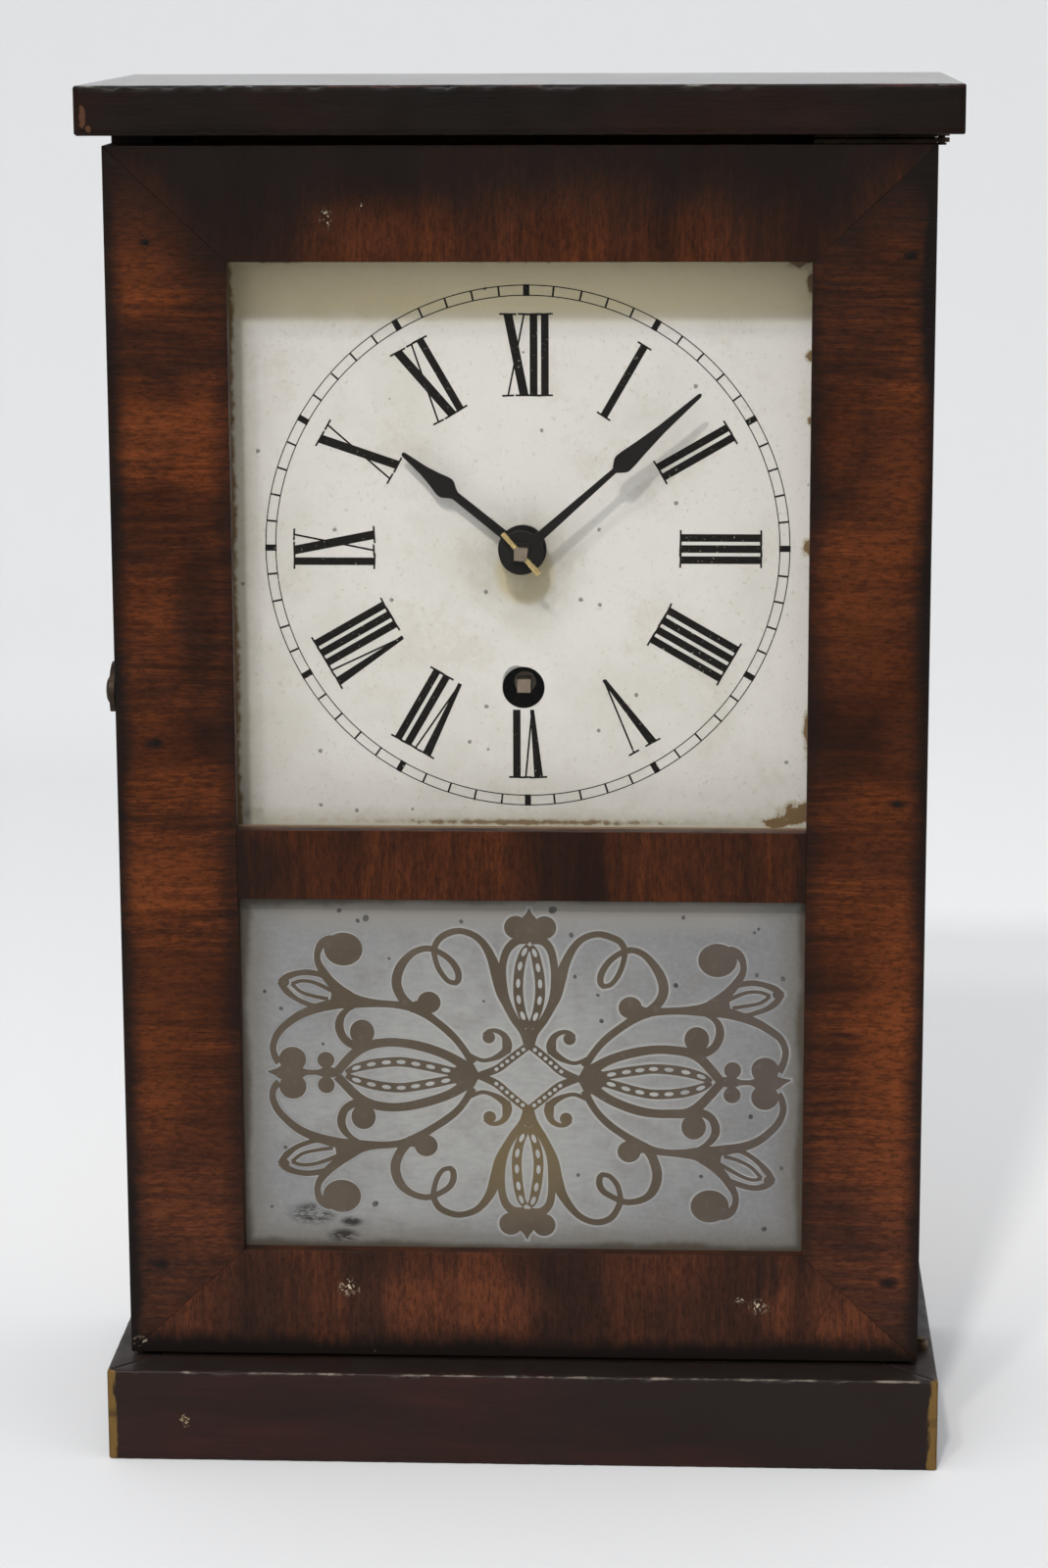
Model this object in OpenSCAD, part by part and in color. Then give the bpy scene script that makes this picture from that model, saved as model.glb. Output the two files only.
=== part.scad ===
// Cottage clock: a small mahogany-veneered wooden case with a hinged glazed door,
// a painted dial and a thirty-hour spring-driven pendulum movement.
// The clock stands on z = 0 and faces -Y. Sizes are in millimetres.

/* [Case] */
// Width over the two side boards
case_w = 177.5; // [165:0.5:200]
// Depth of the side boards behind the door
case_d = 72.1; // [70:0.1:95]
// Thickness of the side boards
side_t = 9; // [7:0.5:12]
// Thickness of the backboard
back_t = 5; // [3:0.5:7]
// Width of the rabbet that the backboard sits in
rabbet_w = 4.5; // [2:0.5:6]
// Thickness of the cornice board
cornice_t = 10.5; // [8:0.5:14]
// Cornice beyond the side boards, at each end
cornice_over = 5.4; // [3:0.1:9]
// Cornice in front of the door's face
cornice_lip = 3; // [1:0.5:6]
// Height of the plinth
plinth_h = 21; // [16:0.5:28]
// Plinth beyond the side boards, at each end
plinth_over = 4.2; // [2:0.1:9]
// Plinth in front of the door's face
plinth_lip = 9.7; // [6:0.1:13]
// Thickness of the plinth's strips
plinth_t = 11; // [10:0.5:14]
// Thickness of the base board
base_t = 8; // [6:0.5:12]
// Thickness of the veneer
veneer_t = 0.9; // [0.6:0.1:1.5]

/* [Door] */
// Thickness of the door with its veneer
door_t = 14; // [13:0.5:18]
// Gap between the door and the side boards' edges
door_gap = 0.5; // [0.3:0.1:1]
// Gap between the door and the cornice
door_top_gap = 2.2; // [2.1:0.1:4]
// Gap between the door and the plinth
door_foot_gap = 1; // [1:0.1:2]
// Width of the door's two openings
opening_w = 125.2; // [110:0.2:135]
// Height of the dial's opening
opening_h = 124.3; // [110:0.1:135]
// Height of the tablet's opening
tablet_h = 81.3; // [60:0.1:100]
// Height of the top rail
rail_top_h = 24.6; // [18:0.1:32]
// Height of the middle rail
rail_mid_h = 15.6; // [12:0.1:24]
// Height of the bottom rail
rail_foot_h = 24.5; // [18:0.1:32]
// Glass behind the door's face
reveal = 3.6; // [2.5:0.1:4.2]
// Thickness of the glass
glass_t = 1.6; // [1.2:0.1:2]
// Width of the rebate that holds the glass
rebate_w = 4; // [3:0.1:6]
// Play of the glass in its rebate
glass_play = 0.5; // [0.2:0.1:1]
// Width of the glazing beads
bead_w = 3.4; // [2:0.1:3.8]
// Depth of the glazing beads
bead_d = 3.5; // [2:0.1:5]
// Clearance of the glazing beads at their mitres
mitre_gap = 0.05; // [0.03:0.01:0.2]
// Length of the tenons on the rails
tenon_l = 12; // [6:1:16]
// Thickness of the tenons
tenon_t = 4; // [3:0.5:4.5]

/* [Hinges and catch] */
// Hinge axis beyond the door's edge
hinge_out = 1.25; // [1.2:0.05:2.5]
// Hinge axis in front of the door's back face
hinge_in = 1.8; // [1.75:0.05:4]
// Thickness of a hinge leaf
leaf_t = 0.9; // [0.6:0.1:0.9]
// Length of a hinge leaf along the door's end
leaf_l = 26; // [15:1:40]
// Width of a hinge leaf
leaf_w = 8.5; // [6:0.5:9]
// Radius of a hinge leaf's eye
eye_r = 1.75; // [1.5:0.05:1.75]
// Radius of the hinge pins
hinge_pin_r = 0.8; // [0.6:0.05:0.9]
// Radius of the hinge pins' rivet heads
rivet_r = 1.12; // [1.05:0.01:1.15]
// Height of the hinge pins' rivet heads
rivet_h = 0.4; // [0.3:0.05:0.5]
// Play of a door leaf under its rivet head
rivet_play = 0.2; // [0.1:0.05:0.3]
// Height of the catch above the plinth
catch_h = 152.4; // [120:0.2:190]
// Catch stud's centre behind the door's face
stud_in = 7; // [4:0.5:9]
// Radius of the catch stud's shank
stud_r = 1.1; // [0.8:0.1:1.4]
// Radius of the catch stud's head
stud_head_r = 3; // [2.2:0.1:4]
// Height of the catch stud's domed head
stud_head_h = 1.15; // [0.8:0.05:1.6]
// Distance between the catch stud and the hook's pivot
hook_l = 19; // [16:0.5:26]
// Thickness of the hook
hook_t = 1.1; // [0.8:0.1:1.5]
// Radius of the hook's head
hook_head_r = 6.3; // [4.5:0.1:8]
// Radius of the hook's eye
hook_eye_r = 3.6; // [3:0.1:5]
// Width of the hook's arm
hook_arm_w = 4; // [3:0.1:6]
// Radius of the hook's pivot screw
hook_pin_r = 1.2; // [1:0.1:1.5]
// Rim of the pivot screw's head and collar past its shank
hook_rim = 1.3; // [1:0.1:1.6]
// Play of the hook between the case and the heads
hook_space = 0.3; // [0.2:0.05:0.4]
// Length of the stud and the pivot screw in the wood
screw_in = 6; // [4:0.5:8]

/* [Dial] */
// Height of the dial's centre above the middle rail's top
dial_rise = 60.6; // [55:0.1:66]
// Width of the dial sheet
dial_w = 150; // [144:0.5:154]
// Height of the dial sheet
dial_h = 146; // [130:0.5:146]
// Thickness of the dial sheet
dial_t = 0.5; // [0.3:0.1:0.8]
// Dial's face behind the side boards' front edges
dial_in = 2.5; // [2.2:0.1:3.5]
// Radius of the hole for the hands' pipes
dial_hole_r = 5; // [4:0.1:6]
// Radius of the winding hole
winding_hole_r = 4.7; // [3.8:0.1:5.5]
// Play of the dial sheet where a side board houses it
dial_play = 0.3; // [0.2:0.05:0.5]
// Width of the dial strips
strip_w = 9; // [8:0.5:10]
// Depth of the dial strips
strip_d = 10; // [6:0.5:14]

/* [Movement] */
// Cut-outs of the plates: radius of their ends
window_r = 6.5; // [5:0.5:7]
// Length of the plates' cut-outs between their ends
window_l = 22; // [16:0.5:24]
// Cut-outs from the middle of the plates
window_x = 21; // [20:0.5:22]
// Middle of the cut-outs below the centre arbor
window_drop = 30; // [28:0.5:32]
// Radius of the plates' round hole
port_r = 8.5; // [6:0.5:9]
// Chamfer of the plates' corners
plate_chamfer = 4; // [2:0.5:5]
// Height of the back plate's ears
ear_w = 12; // [10:0.5:14]
// Upper ears below the plates' top
ear_top_in = 10; // [8:0.5:12]
// Lower ears above the plates' foot
ear_foot_in = 12; // [10:0.5:14]
// Space between the dial and the front plate
motion_d = 7.5; // [7.5:0.1:8.5]
// Thickness of the plates
plate_t = 1.3; // [1:0.1:1.6]
// Space between the plates
plate_gap = 21; // [21:0.1:23]
// Width of the plates
plate_w = 76; // [74:0.5:84]
// Plates above the centre arbor
plate_up = 46; // [44.5:0.5:50]
// Plates below the centre arbor
plate_down = 60; // [59:0.5:64]
// Radius of the pillars
pillar_r = 2.2; // [1.8:0.1:2.6]
// Pillars in from the plates' edges
pillar_in = 5; // [5:0.5:6]
// Pillars in from the plates' ends
pillar_end_in = 6; // [5.5:0.5:7]
// Radius of the pillars' threaded ends
pillar_end_r = 1.4; // [1:0.1:1.5]
// Radius of the pillar nuts
nut_r = 3; // [2.5:0.1:3.4]
// Height of the pillar nuts
nut_h = 2; // [1.5:0.1:2.5]
// Width of the wooden cleats behind the movement
cleat_w = 10; // [8:0.5:14]
// Inner face of the cleats from the middle
cleat_x = 36.5; // [36.5:0.5:40]
// Radius of the movement's screws
screw_r = 1.3; // [1:0.1:1.5]
// Radius of the screws' heads
screw_head_r = 2.5; // [2:0.1:2.8]
// Height of the screws' heads
screw_head_h = 1.2; // [0.8:0.1:1.6]
// Radius of the train's arbors
arbor_r = 1.1; // [0.9:0.05:1.15]
// Radius of the train's pivots
pivot_r = 0.6; // [0.5:0.05:0.8]
// Radius of the centre arbor
centre_r = 1.5; // [1.4:0.05:1.6]
// Radius of the winding arbor
winding_r = 2.4; // [2.25:0.05:2.6]
// Side of the winding square
winding_square = 3; // [2.6:0.1:3.1]
// Radial clearance of pivots, pins and pipes
run = 0.05; // [0.03:0.01:0.08]
// Pivots past the plates' outer faces
pivot_out = 0.3; // [0.2:0.05:0.4]
// End shake of the arbors' shoulders between the plates
shake = 0.4; // [0.3:0.05:0.5]
// Thickness of the suspension cock
cock_t = 1.2; // [1:0.1:1.5]
// Width of the suspension cock's arm
cock_w = 5; // [4:0.5:6]

/* [Train] */
// Centre arbor above the winding arbor
winding_drop = 31.5; // [30.5:0.1:32.5]
// Escape arbor above the centre arbor
escape_rise = 25; // [24.6:0.1:26]
// Verge above the escape arbor
verge_rise = 14.4; // [14.2:0.1:15]
// Radius of the escape wheel
escape_r = 12; // [11.2:0.1:12.1]
// Radius of the trundles of the centre pinion
great_trundle_r = 0.55; // [0.5:0.01:0.6]
// Radius of the trundles of the third and escape pinions
train_trundle_r = 0.3; // [0.25:0.01:0.32]
// Distance between the centre and third arbors
third_l = 23.375; // [23:0.025:23.8]
// Distance between the third and escape arbors
escape_l = 19.5; // [19.2:0.05:19.8]
// Distance between the centre arbor and the minute wheel's stud
motion_l = 12; // [11.6:0.05:12.4]
// Radius of the trundles of the motion works
motion_trundle_r = 0.28; // [0.24:0.01:0.3]
// Radius of the minute wheel's stud
motion_stud_r = 1; // [0.8:0.05:1.1]
// Side clearance of the teeth on the trundles
mesh_gap = 0.06; // [0.05:0.01:0.08]
// Outer radius of the ratchet wheel
ratchet_r = 11; // [10.5:0.1:11.5]
// Depth of the ratchet's teeth
ratchet_depth = 2; // [1.6:0.1:2.2]
// Click's pivot from the winding arbor's axis
click_l = 16.8; // [16.4:0.1:17.4]
// Outer radius of the mainspring
spring_r = 24; // [20:0.5:25]
// Height of the mainspring
spring_w = 10; // [8:0.5:10]
// Thickness of the mainspring's steel
spring_t = 0.5; // [0.4:0.05:0.6]
// Thickness of the ratchet wheel and its click
ratchet_t = 1.2; // [1:0.1:1.3]
// Thickness of the great wheel
great_t = 1.6; // [1.4:0.1:1.8]
// Thickness of the train's wheels
wheel_t = 0.9; // [0.8:0.05:1]
// Thickness of the motion works' wheels
motion_t = 0.8; // [0.7:0.05:0.9]
// Centre wheel's front face before the back plate
centre_wheel_in = 3.8; // [3.6:0.1:4]
// Third wheel's front face behind the front plate
third_wheel_in = 7.1; // [7:0.1:7.2]
// Escape wheel's front face behind the front plate
escape_wheel_in = 11.7; // [11.6:0.1:11.8]
// Width of the wheels' rims inside their teeth
rim_w = 2.6; // [2.2:0.1:2.8]
// Width of the wheels' arms
arm_w = 2.2; // [1.8:0.1:2.4]
// Depth of the escape wheel's teeth
escape_tooth = 2; // [1.6:0.1:2.2]
// Thickness of the verge's pallet strip
verge_t = 1.7; // [1.4:0.1:1.8]
// Pallets' tips outside the escape wheel
pallet_gap = 1.1; // [1:0.05:1.3]
// Angle of a pallet's tip from the line of the two arbors, seen from the escape wheel
pallet_a = 42.2; // [40:0.2:44]

/* [Hands] */
// Angle of the minute hand, clockwise from twelve
minute_angle = 48.4; // [0:0.2:360]
// Length of the minute hand
minute_l = 52.3; // [44:0.1:54]
// Radius of the minute hand's boss
minute_boss_r = 4.85; // [4:0.05:6]
// Angle of the hour hand, clockwise from twelve
hour_angle = 308.8; // [0:0.2:360]
// Length of the hour hand
hour_l = 33.7; // [28:0.1:40]
// Radius of the hour hand's boss
hour_boss_r = 5.35; // [4.5:0.05:6]
// Half width of the minute hand's teardrop
minute_bulb_w = 2.2; // [1.6:0.1:2.8]
// Half width of the hour hand's teardrop
hour_bulb_w = 2.4; // [1.8:0.1:3]
// Thickness of the hands
hand_t = 0.6; // [0.4:0.1:0.9]
// Side of the arbor's square end
end_square = 2.85; // [2.7:0.05:3]
// Wall of the minute hand's square collet
collet_wall = 0.675; // [0.5:0.025:0.8]
// Minute hand's face in front of the dial
minute_out = 9; // [8.6:0.1:9.2]
// Hour hand's face in front of the dial
hour_out = 3.6; // [3:0.1:4.5]
// Length of the taper pin that holds the minute hand
taper_l = 12; // [8:0.5:14]
// Radius of the taper pin's thick end
taper_r = 0.7; // [0.5:0.05:0.7]

/* [Pendulum] */
// Pendulum's middle plane behind the back plate
pendulum_in = 5.4; // [5:0.1:7]
// Length from the suspension to the bob's centre
pendulum_l = 146.4; // [125:0.1:150]
// Radius of the pendulum's wire
wire_r = 0.8; // [0.6:0.05:1]
// Radius of the bob
bob_r = 15; // [12:0.5:17]
// Thickness of the bob
bob_t = 8; // [5:0.5:9]
// Radius of the rating nut
rating_r = 4; // [3:0.1:5]
// Height of the rating nut
rating_h = 3.4; // [2.5:0.1:4.5]
// Threaded wire below the rating nut
thread_l = 6; // [5:0.5:9]
// Length of the suspension spring
suspension_l = 12; // [9:0.5:16]
// Length of the crutch below the suspension
crutch_l = 34; // [24:0.5:44]
// Clearance of the wire in the crutch's loop
crutch_gap = 0.3; // [0.2:0.05:0.5]
// Side of the crutch's wire
crutch_t = 1; // [0.8:0.1:1.2]
// Thickness of the suspension spring
ribbon_t = 0.3; // [0.2:0.05:0.4]
// Length of the ferrule that grips the suspension spring
ferrule_l = 4; // [3:0.5:5]

/* [Hidden] */

$fn = 48;
// Overshoot of cuts past the faces that they open.
cut = 1;

// Heights of the case and the door.
door_h = rail_foot_h + tablet_h + rail_mid_h + opening_h + rail_top_h;
door_z = plinth_h + door_foot_gap;
case_h = door_foot_gap + door_h + door_top_gap;
case_top = plinth_h + case_h;
tablet_z = door_z + rail_foot_h;
rail_mid_z = tablet_z + tablet_h;
opening_z = rail_mid_z + rail_mid_h;
rail_top_z = opening_z + opening_h;
dial_z = opening_z + dial_rise;

// Depths, from the plinth's front to the flush back.
depth = plinth_lip + door_t + door_gap + case_d;
y_back = depth / 2;
y_plinth = -depth / 2;
y_door = y_plinth + plinth_lip;
y_cornice = y_door - cornice_lip;
y_core = y_door + veneer_t;
y_glass = y_door + reveal;
y_bead = y_glass + glass_t;
y_door_back = y_door + door_t;
y_case = y_door_back + door_gap;
y_dial = y_case + dial_in;
y_dial_back = y_dial + dial_t;
y_front_plate = y_dial_back + motion_d;
y_train = y_front_plate + plate_t;
y_back_plate = y_train + plate_gap;
y_cleat = y_back_plate + plate_t;
y_backboard = y_back - back_t;
y_pendulum = y_cleat + pendulum_in;

// Widths.
side_in = case_w / 2 - side_t;
cornice_half = case_w / 2 + cornice_over;
plinth_half = case_w / 2 + plinth_over;
opening_half = opening_w / 2;
stile_w = case_w / 2 - opening_half;
hinge_x = case_w / 2 + hinge_out;
hinge_y = y_door_back - hinge_in;

// Arbors of the movement, as [x, z] seen from the front.
centre = [0, dial_z];
winding = [0, dial_z - winding_drop];
escape = [0, dial_z + escape_rise];
verge_at = [0, escape[1] + verge_rise];
third_z = (third_l * third_l - escape_l * escape_l + escape_rise * escape_rise) / (2 * escape_rise);
third = [-sqrt(third_l * third_l - third_z * third_z), dial_z + third_z];
stud_at = [motion_l, dial_z];

// Teeth of the wheels and trundles of the lantern pinions.
great_n = 60;
centre_pin_n = 8;
centre_n = 78;
third_pin_n = 7;
third_n = 72;
escape_pin_n = 6;
escape_n = 35;
cannon_n = 12;
minute_n = 36;
minute_pin_n = 10;
hour_n = 40;
ratchet_n = 12;

// Pitch radii that share each distance between arbors by the numbers of teeth.
function share(l, n, of) = l * n / of;
great_pr = share(winding_drop, great_n, great_n + centre_pin_n);
centre_pin_pr = winding_drop - great_pr;
centre_pr = share(third_l, centre_n, centre_n + third_pin_n);
third_pin_pr = third_l - centre_pr;
third_pr = share(escape_l, third_n, third_n + escape_pin_n);
escape_pin_pr = escape_l - third_pr;
minute_pr = share(motion_l, minute_n, minute_n + cannon_n);
cannon_pr = motion_l - minute_pr;
hour_pr = share(motion_l, hour_n, hour_n + minute_pin_n);
minute_pin_pr = motion_l - hour_pr;

// Depths in the train, from the plates' inner faces.
wheel_gap = 0.2;
y_ratchet = y_train + pivot_out + shake;
y_great = y_ratchet + ratchet_t + wheel_gap;
y_spring = y_great + great_t + 5 * wheel_gap;
y_centre_wheel = y_back_plate - centre_wheel_in;
y_third_wheel = y_train + third_wheel_in;
y_escape_wheel = y_train + escape_wheel_in;
shroud_t = 0.5;
shroud_gap = 0.3;
shroud_lip = 0.35;

// Depths in the motion works, from the dial's back.
y_hour_wheel = y_dial_back + 0.9;
y_minute_wheel = y_dial_back + 3.7;

// Depths of the hands in front of the dial.
y_minute_hand = y_dial - minute_out;
y_hour_hand = y_dial - hour_out;
y_arbor_end = y_minute_hand - 2.4;
y_taper = y_minute_hand - 1.4;

// Radii of the nested pipes of the hands.
cannon_r = centre_r + 0.55;
hour_bore_r = cannon_r + run;
hour_pipe_r = hour_bore_r + 0.85;

// Turns a wheel's outline so that a gap faces another arbor.
function bearing(from, to) = atan2(to[1] - from[1], to[0] - from[0]);
centre_third = bearing(centre, third);
third_escape = bearing(third, escape);

wood = [0.36, 0.16, 0.08];
dark_wood = [0.2, 0.1, 0.06];
pine = [0.72, 0.56, 0.36];
brass = [0.74, 0.58, 0.3];
steel = [0.45, 0.45, 0.46];
black = [0.06, 0.06, 0.07];
cream = [0.88, 0.85, 0.74];
glass_clear = [0.8, 0.86, 0.88, 0.35];
glass_frost = [0.62, 0.66, 0.68, 0.8];

// Placing: a plate drawn as seen from the front, from depth y0 to y1.
module plate_y(y0, y1) {
    translate([0, y1, 0])
        rotate([90, 0, 0])
            linear_extrude(y1 - y0)
                children();
}

// A plate drawn as [y, z], from x0 to x1.
module plate_x(x0, x1) {
    translate([x0, 0, 0])
        rotate([90, 0, 90])
            linear_extrude(x1 - x0)
                children();
}

// A round rod along Y at [x, z].
module rod_y(at, r, y0, y1) {
    translate([at[0], y0, at[1]])
        rotate([-90, 0, 0])
            cylinder(r = r, h = y1 - y0);
}

// A box from its low to its high corner.
module box(low, high) {
    translate(low)
        cube(high - low);
}

// Case

// The plinth's strips are mitred at the front corners.
module plinth_front() {
    color(dark_wood)
        linear_extrude(plinth_h)
            polygon([[-plinth_half, y_plinth], [plinth_half, y_plinth],
                     [plinth_half - plinth_t, y_plinth + plinth_t],
                     [-plinth_half + plinth_t, y_plinth + plinth_t]]);
}

module plinth_side() {
    linear_extrude(plinth_h)
        polygon([[plinth_half, y_plinth], [plinth_half, y_back],
                 [plinth_half - plinth_t, y_back],
                 [plinth_half - plinth_t, y_plinth + plinth_t]]);
}

module plinth_side_left() {
    color(dark_wood)
        mirror([1, 0, 0])
            plinth_side();
}

module plinth_side_right() {
    color(dark_wood)
        plinth_side();
}

module base_board() {
    color(pine)
        box([-plinth_half + plinth_t, y_plinth + plinth_t, plinth_h - base_t],
            [plinth_half - plinth_t, y_back, plinth_h]);
}

module cornice_board() {
    color(dark_wood)
        box([-cornice_half, y_cornice + veneer_t, case_top],
            [cornice_half, y_back, case_top + cornice_t]);
}

module cornice_veneer() {
    color(dark_wood)
        box([-cornice_half, y_cornice, case_top],
            [cornice_half, y_cornice + veneer_t, case_top + cornice_t]);
}

// Right side board: rabbeted for the backboard, and grooved where the dial is wider than the case inside.
module side_board() {
    difference() {
        box([side_in, y_case, plinth_h], [case_w / 2, y_back, case_top]);
        box([side_in - cut, y_backboard, plinth_h - cut],
            [side_in + rabbet_w, y_back + cut, case_top + cut]);
        dial_sheet(dial_play);
    }
}

module side_left() {
    color(dark_wood)
        difference() {
            mirror([1, 0, 0])
                side_board();
            hook_screw_shank();
        }
}

module side_right() {
    color(dark_wood)
        side_board();
}

module backboard() {
    color(pine)
        box([-side_in - rabbet_w, y_backboard, plinth_h],
            [side_in + rabbet_w, y_back, case_top]);
}

module dial_strips() {
    color(pine)
        for (s = [-1, 1])
            translate([s * (side_in - strip_w / 2), y_dial_back + strip_d / 2, dial_z])
                cube([strip_w, strip_d, dial_h], center = true);
}

// The dial's sheet, larger all round by a clearance.
module dial_sheet(clearance) {
    plate_y(y_dial - clearance, y_dial_back + clearance)
        translate(centre)
            square([dial_w + 2 * clearance, dial_h + 2 * clearance], center = true);
}

module dial() {
    color(cream)
        difference() {
            dial_sheet(0);
            plate_y(y_dial - cut, y_dial_back + cut) {
                translate(centre)
                    circle(r = dial_hole_r);
                translate(winding)
                    circle(r = winding_hole_r);
            }
        }
}

// Movement's frame

cleat_mid = cleat_x + cleat_w / 2;
ear_l = cleat_mid - plate_w / 2 + screw_head_r + 1;
ears = [plate_up - ear_top_in, ear_foot_in - plate_down];
pillar_x = plate_w / 2 - pillar_in;
pillar_top = plate_up - pillar_end_in;
pillar_foot = pillar_end_in - plate_down;
pillar_at = [[-pillar_x, pillar_top], [pillar_x, pillar_top],
             [-pillar_x, pillar_foot], [pillar_x, pillar_foot]];

module movement_cleats() {
    color(pine)
        for (s = [-1, 1])
            difference() {
                translate([s * cleat_mid, (y_cleat + y_backboard) / 2,
                           dial_z + (plate_up - plate_down) / 2])
                    cube([cleat_w, y_backboard - y_cleat, plate_up + plate_down], center = true);
                for (z = ears)
                    rod_y([s * cleat_mid, dial_z + z], screw_r, y_cleat - cut, y_cleat + screw_in);
            }
}

module movement_screws() {
    color(steel)
        for (s = [-1, 1], z = ears) {
            rod_y([s * cleat_mid, dial_z + z], screw_r, y_back_plate, y_cleat + screw_in);
            rod_y([s * cleat_mid, dial_z + z], screw_head_r, y_back_plate - screw_head_h,
                  y_back_plate);
        }
}

// Outline of both plates, with their cut-outs and the pillars' holes.
module plate_outline() {
    x = [plate_w / 2, plate_w / 2 - plate_chamfer];
    difference() {
        polygon([[-x[1], -plate_down], [x[1], -plate_down],
                 [x[0], -plate_down + plate_chamfer], [x[0], plate_up - plate_chamfer],
                 [x[1], plate_up], [-x[1], plate_up],
                 [-x[0], plate_up - plate_chamfer], [-x[0], -plate_down + plate_chamfer]]);
        for (s = [-1, 1])
            translate([s * window_x, -window_drop]) {
                square([2 * window_r, window_l], center = true);
                for (end = [-1, 1])
                    translate([0, end * window_l / 2])
                        circle(r = window_r);
            }
        translate([plate_w * 0.303, plate_up * 0.478])
            circle(r = port_r);
        for (p = pillar_at)
            translate(p)
                circle(r = pillar_end_r);
    }
}

module pivot_hole(at, r) {
    translate(at)
        circle(r = r + run);
}

module front_plate() {
    color(brass)
        plate_y(y_front_plate, y_train)
            difference() {
                translate(centre)
                    plate_outline();
                pivot_hole(centre, centre_r);
                pivot_hole(winding, winding_r);
                pivot_hole(third, pivot_r);
                pivot_hole(escape, pivot_r);
                pivot_hole(verge_at, pivot_r);
                translate(stud_at)
                    circle(r = motion_stud_r);
            }
}

module back_plate() {
    color(brass)
        plate_y(y_back_plate, y_cleat)
            difference() {
                union() {
                    translate(centre)
                        plate_outline();
                    for (s = [-1, 1], z = ears)
                        translate([s * (plate_w - cut + ear_l) / 2, dial_z + z])
                            square([ear_l + cut, ear_w], center = true);
                }
                for (s = [-1, 1], z = ears)
                    translate([s * cleat_mid, dial_z + z])
                        circle(r = screw_r);
                pivot_hole(centre, pivot_r);
                pivot_hole(winding, winding_r);
                pivot_hole(third, pivot_r);
                pivot_hole(escape, pivot_r);
                pivot_hole(verge_at, arbor_r);
            }
}

module pillars() {
    color(brass)
        translate([0, 0, dial_z])
            for (p = pillar_at) {
                rod_y(p, pillar_r, y_train, y_back_plate);
                rod_y(p, pillar_end_r, y_front_plate - nut_h - 2 * pivot_out, y_train);
                rod_y(p, pillar_end_r, y_back_plate, y_cleat);
            }
}

module pillar_nuts() {
    color(brass)
        plate_y(y_front_plate - nut_h, y_front_plate)
            translate(centre)
                for (p = pillar_at)
                    translate(p)
                        difference() {
                            circle(r = nut_r, $fn = 6);
                            circle(r = pillar_end_r);
                        }
}

module minute_stud() {
    color(steel)
        rod_y(stud_at, motion_stud_r, y_dial_back + pivot_out, y_train);
}

// Bracket behind the back plate, with the pin that the suspension hangs on.
cock_up = plate_up - escape_rise - verge_rise;
pin_r = 0.8;
spring_half = 1.2;

module suspension_cock() {
    lug_y = y_pendulum + spring_half + 1;
    color(brass)
        translate([0, 0, verge_at[1]]) {
            box([-cock_w, y_cleat, cock_up / 2], [cock_w, y_cleat + cock_t, cock_up]);
            box([-cock_w / 2, y_cleat + cock_t, cock_up - cock_t], [cock_w / 2, lug_y, cock_up]);
            box([-cock_w / 2, lug_y, -cock_w / 2], [cock_w / 2, lug_y + cock_t, cock_up]);
            rod_y([0, 0], pin_r, y_pendulum - spring_half - pivot_out, lug_y);
        }
}

// Mainspring: a spiral strip whose outer end loops a lower pillar.
function polar(r, a) = [r * cos(a), r * sin(a)];

module mainspring() {
    inner_r = winding_r + 2 * spring_t + wheel_gap;
    post = [-pillar_x, pillar_foot + winding_drop];
    reach = norm(post);
    leave = atan2(post[1], post[0]) + 360 - acos(spring_r / reach);
    turns = 6;
    steps = turns * 20;
    spiral = [for (i = [0:steps])
        let (f = i / steps)
            [inner_r + (spring_r - inner_r) * f, leave - turns * 360 * (1 - f)]];
    outline = concat([for (p = spiral) polar(p[0] + spring_t / 2, p[1])],
                     [for (i = [steps:-1:0]) polar(spiral[i][0] - spring_t / 2, spiral[i][1])]);
    color(steel)
        plate_y(y_spring, y_spring + spring_w)
            translate(winding)
                difference() {
                    union() {
                        polygon(outline);
                        translate(polar(spring_r, leave))
                            rotate(leave + 90)
                                translate([0, -spring_t / 2])
                                    square([sqrt(reach * reach - spring_r * spring_r), spring_t]);
                        translate(post)
                            circle(r = pillar_r + spring_t);
                    }
                    translate(post)
                        circle(r = pillar_r);
                }
}

// Hinges

// Plan of a leaf: a plate along the door's end and an eye past its edge.
module leaf_outline() {
    translate([case_w / 2 - leaf_l, hinge_y + eye_r - leaf_w])
        square([leaf_l, leaf_w]);
    translate([case_w / 2 - cut, hinge_y - eye_r])
        square([hinge_out + cut, 2 * eye_r]);
    translate([hinge_x, hinge_y])
        circle(r = eye_r);
}

module door_leaf() {
    linear_extrude(leaf_t)
        difference() {
            leaf_outline();
            translate([hinge_x, hinge_y])
                circle(r = hinge_pin_r + run);
        }
}

// Leaf on the case with its riveted pin, which points up.
module case_leaf(pin_l) {
    linear_extrude(leaf_t)
        leaf_outline();
    translate([hinge_x, hinge_y, leaf_t])
        cylinder(r = hinge_pin_r, h = pin_l);
    translate([hinge_x, hinge_y, leaf_t + pin_l - rivet_h])
        cylinder(r = rivet_r, h = rivet_h);
}

module hinge_plate_top() {
    color(brass)
        translate([0, 0, case_top])
            mirror([0, 0, 1])
                case_leaf(door_top_gap - leaf_t + rivet_play + rivet_h);
}

module hinge_plate_bottom() {
    color(brass)
        translate([0, 0, plinth_h])
            case_leaf(door_foot_gap + rivet_play + rivet_h);
}

module hinge_leaf_top() {
    color(brass)
        translate([0, 0, door_z + door_h])
            door_leaf();
}

module hinge_leaf_bottom() {
    color(brass)
        translate([0, 0, door_z])
            door_leaf();
}

// Catch

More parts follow.
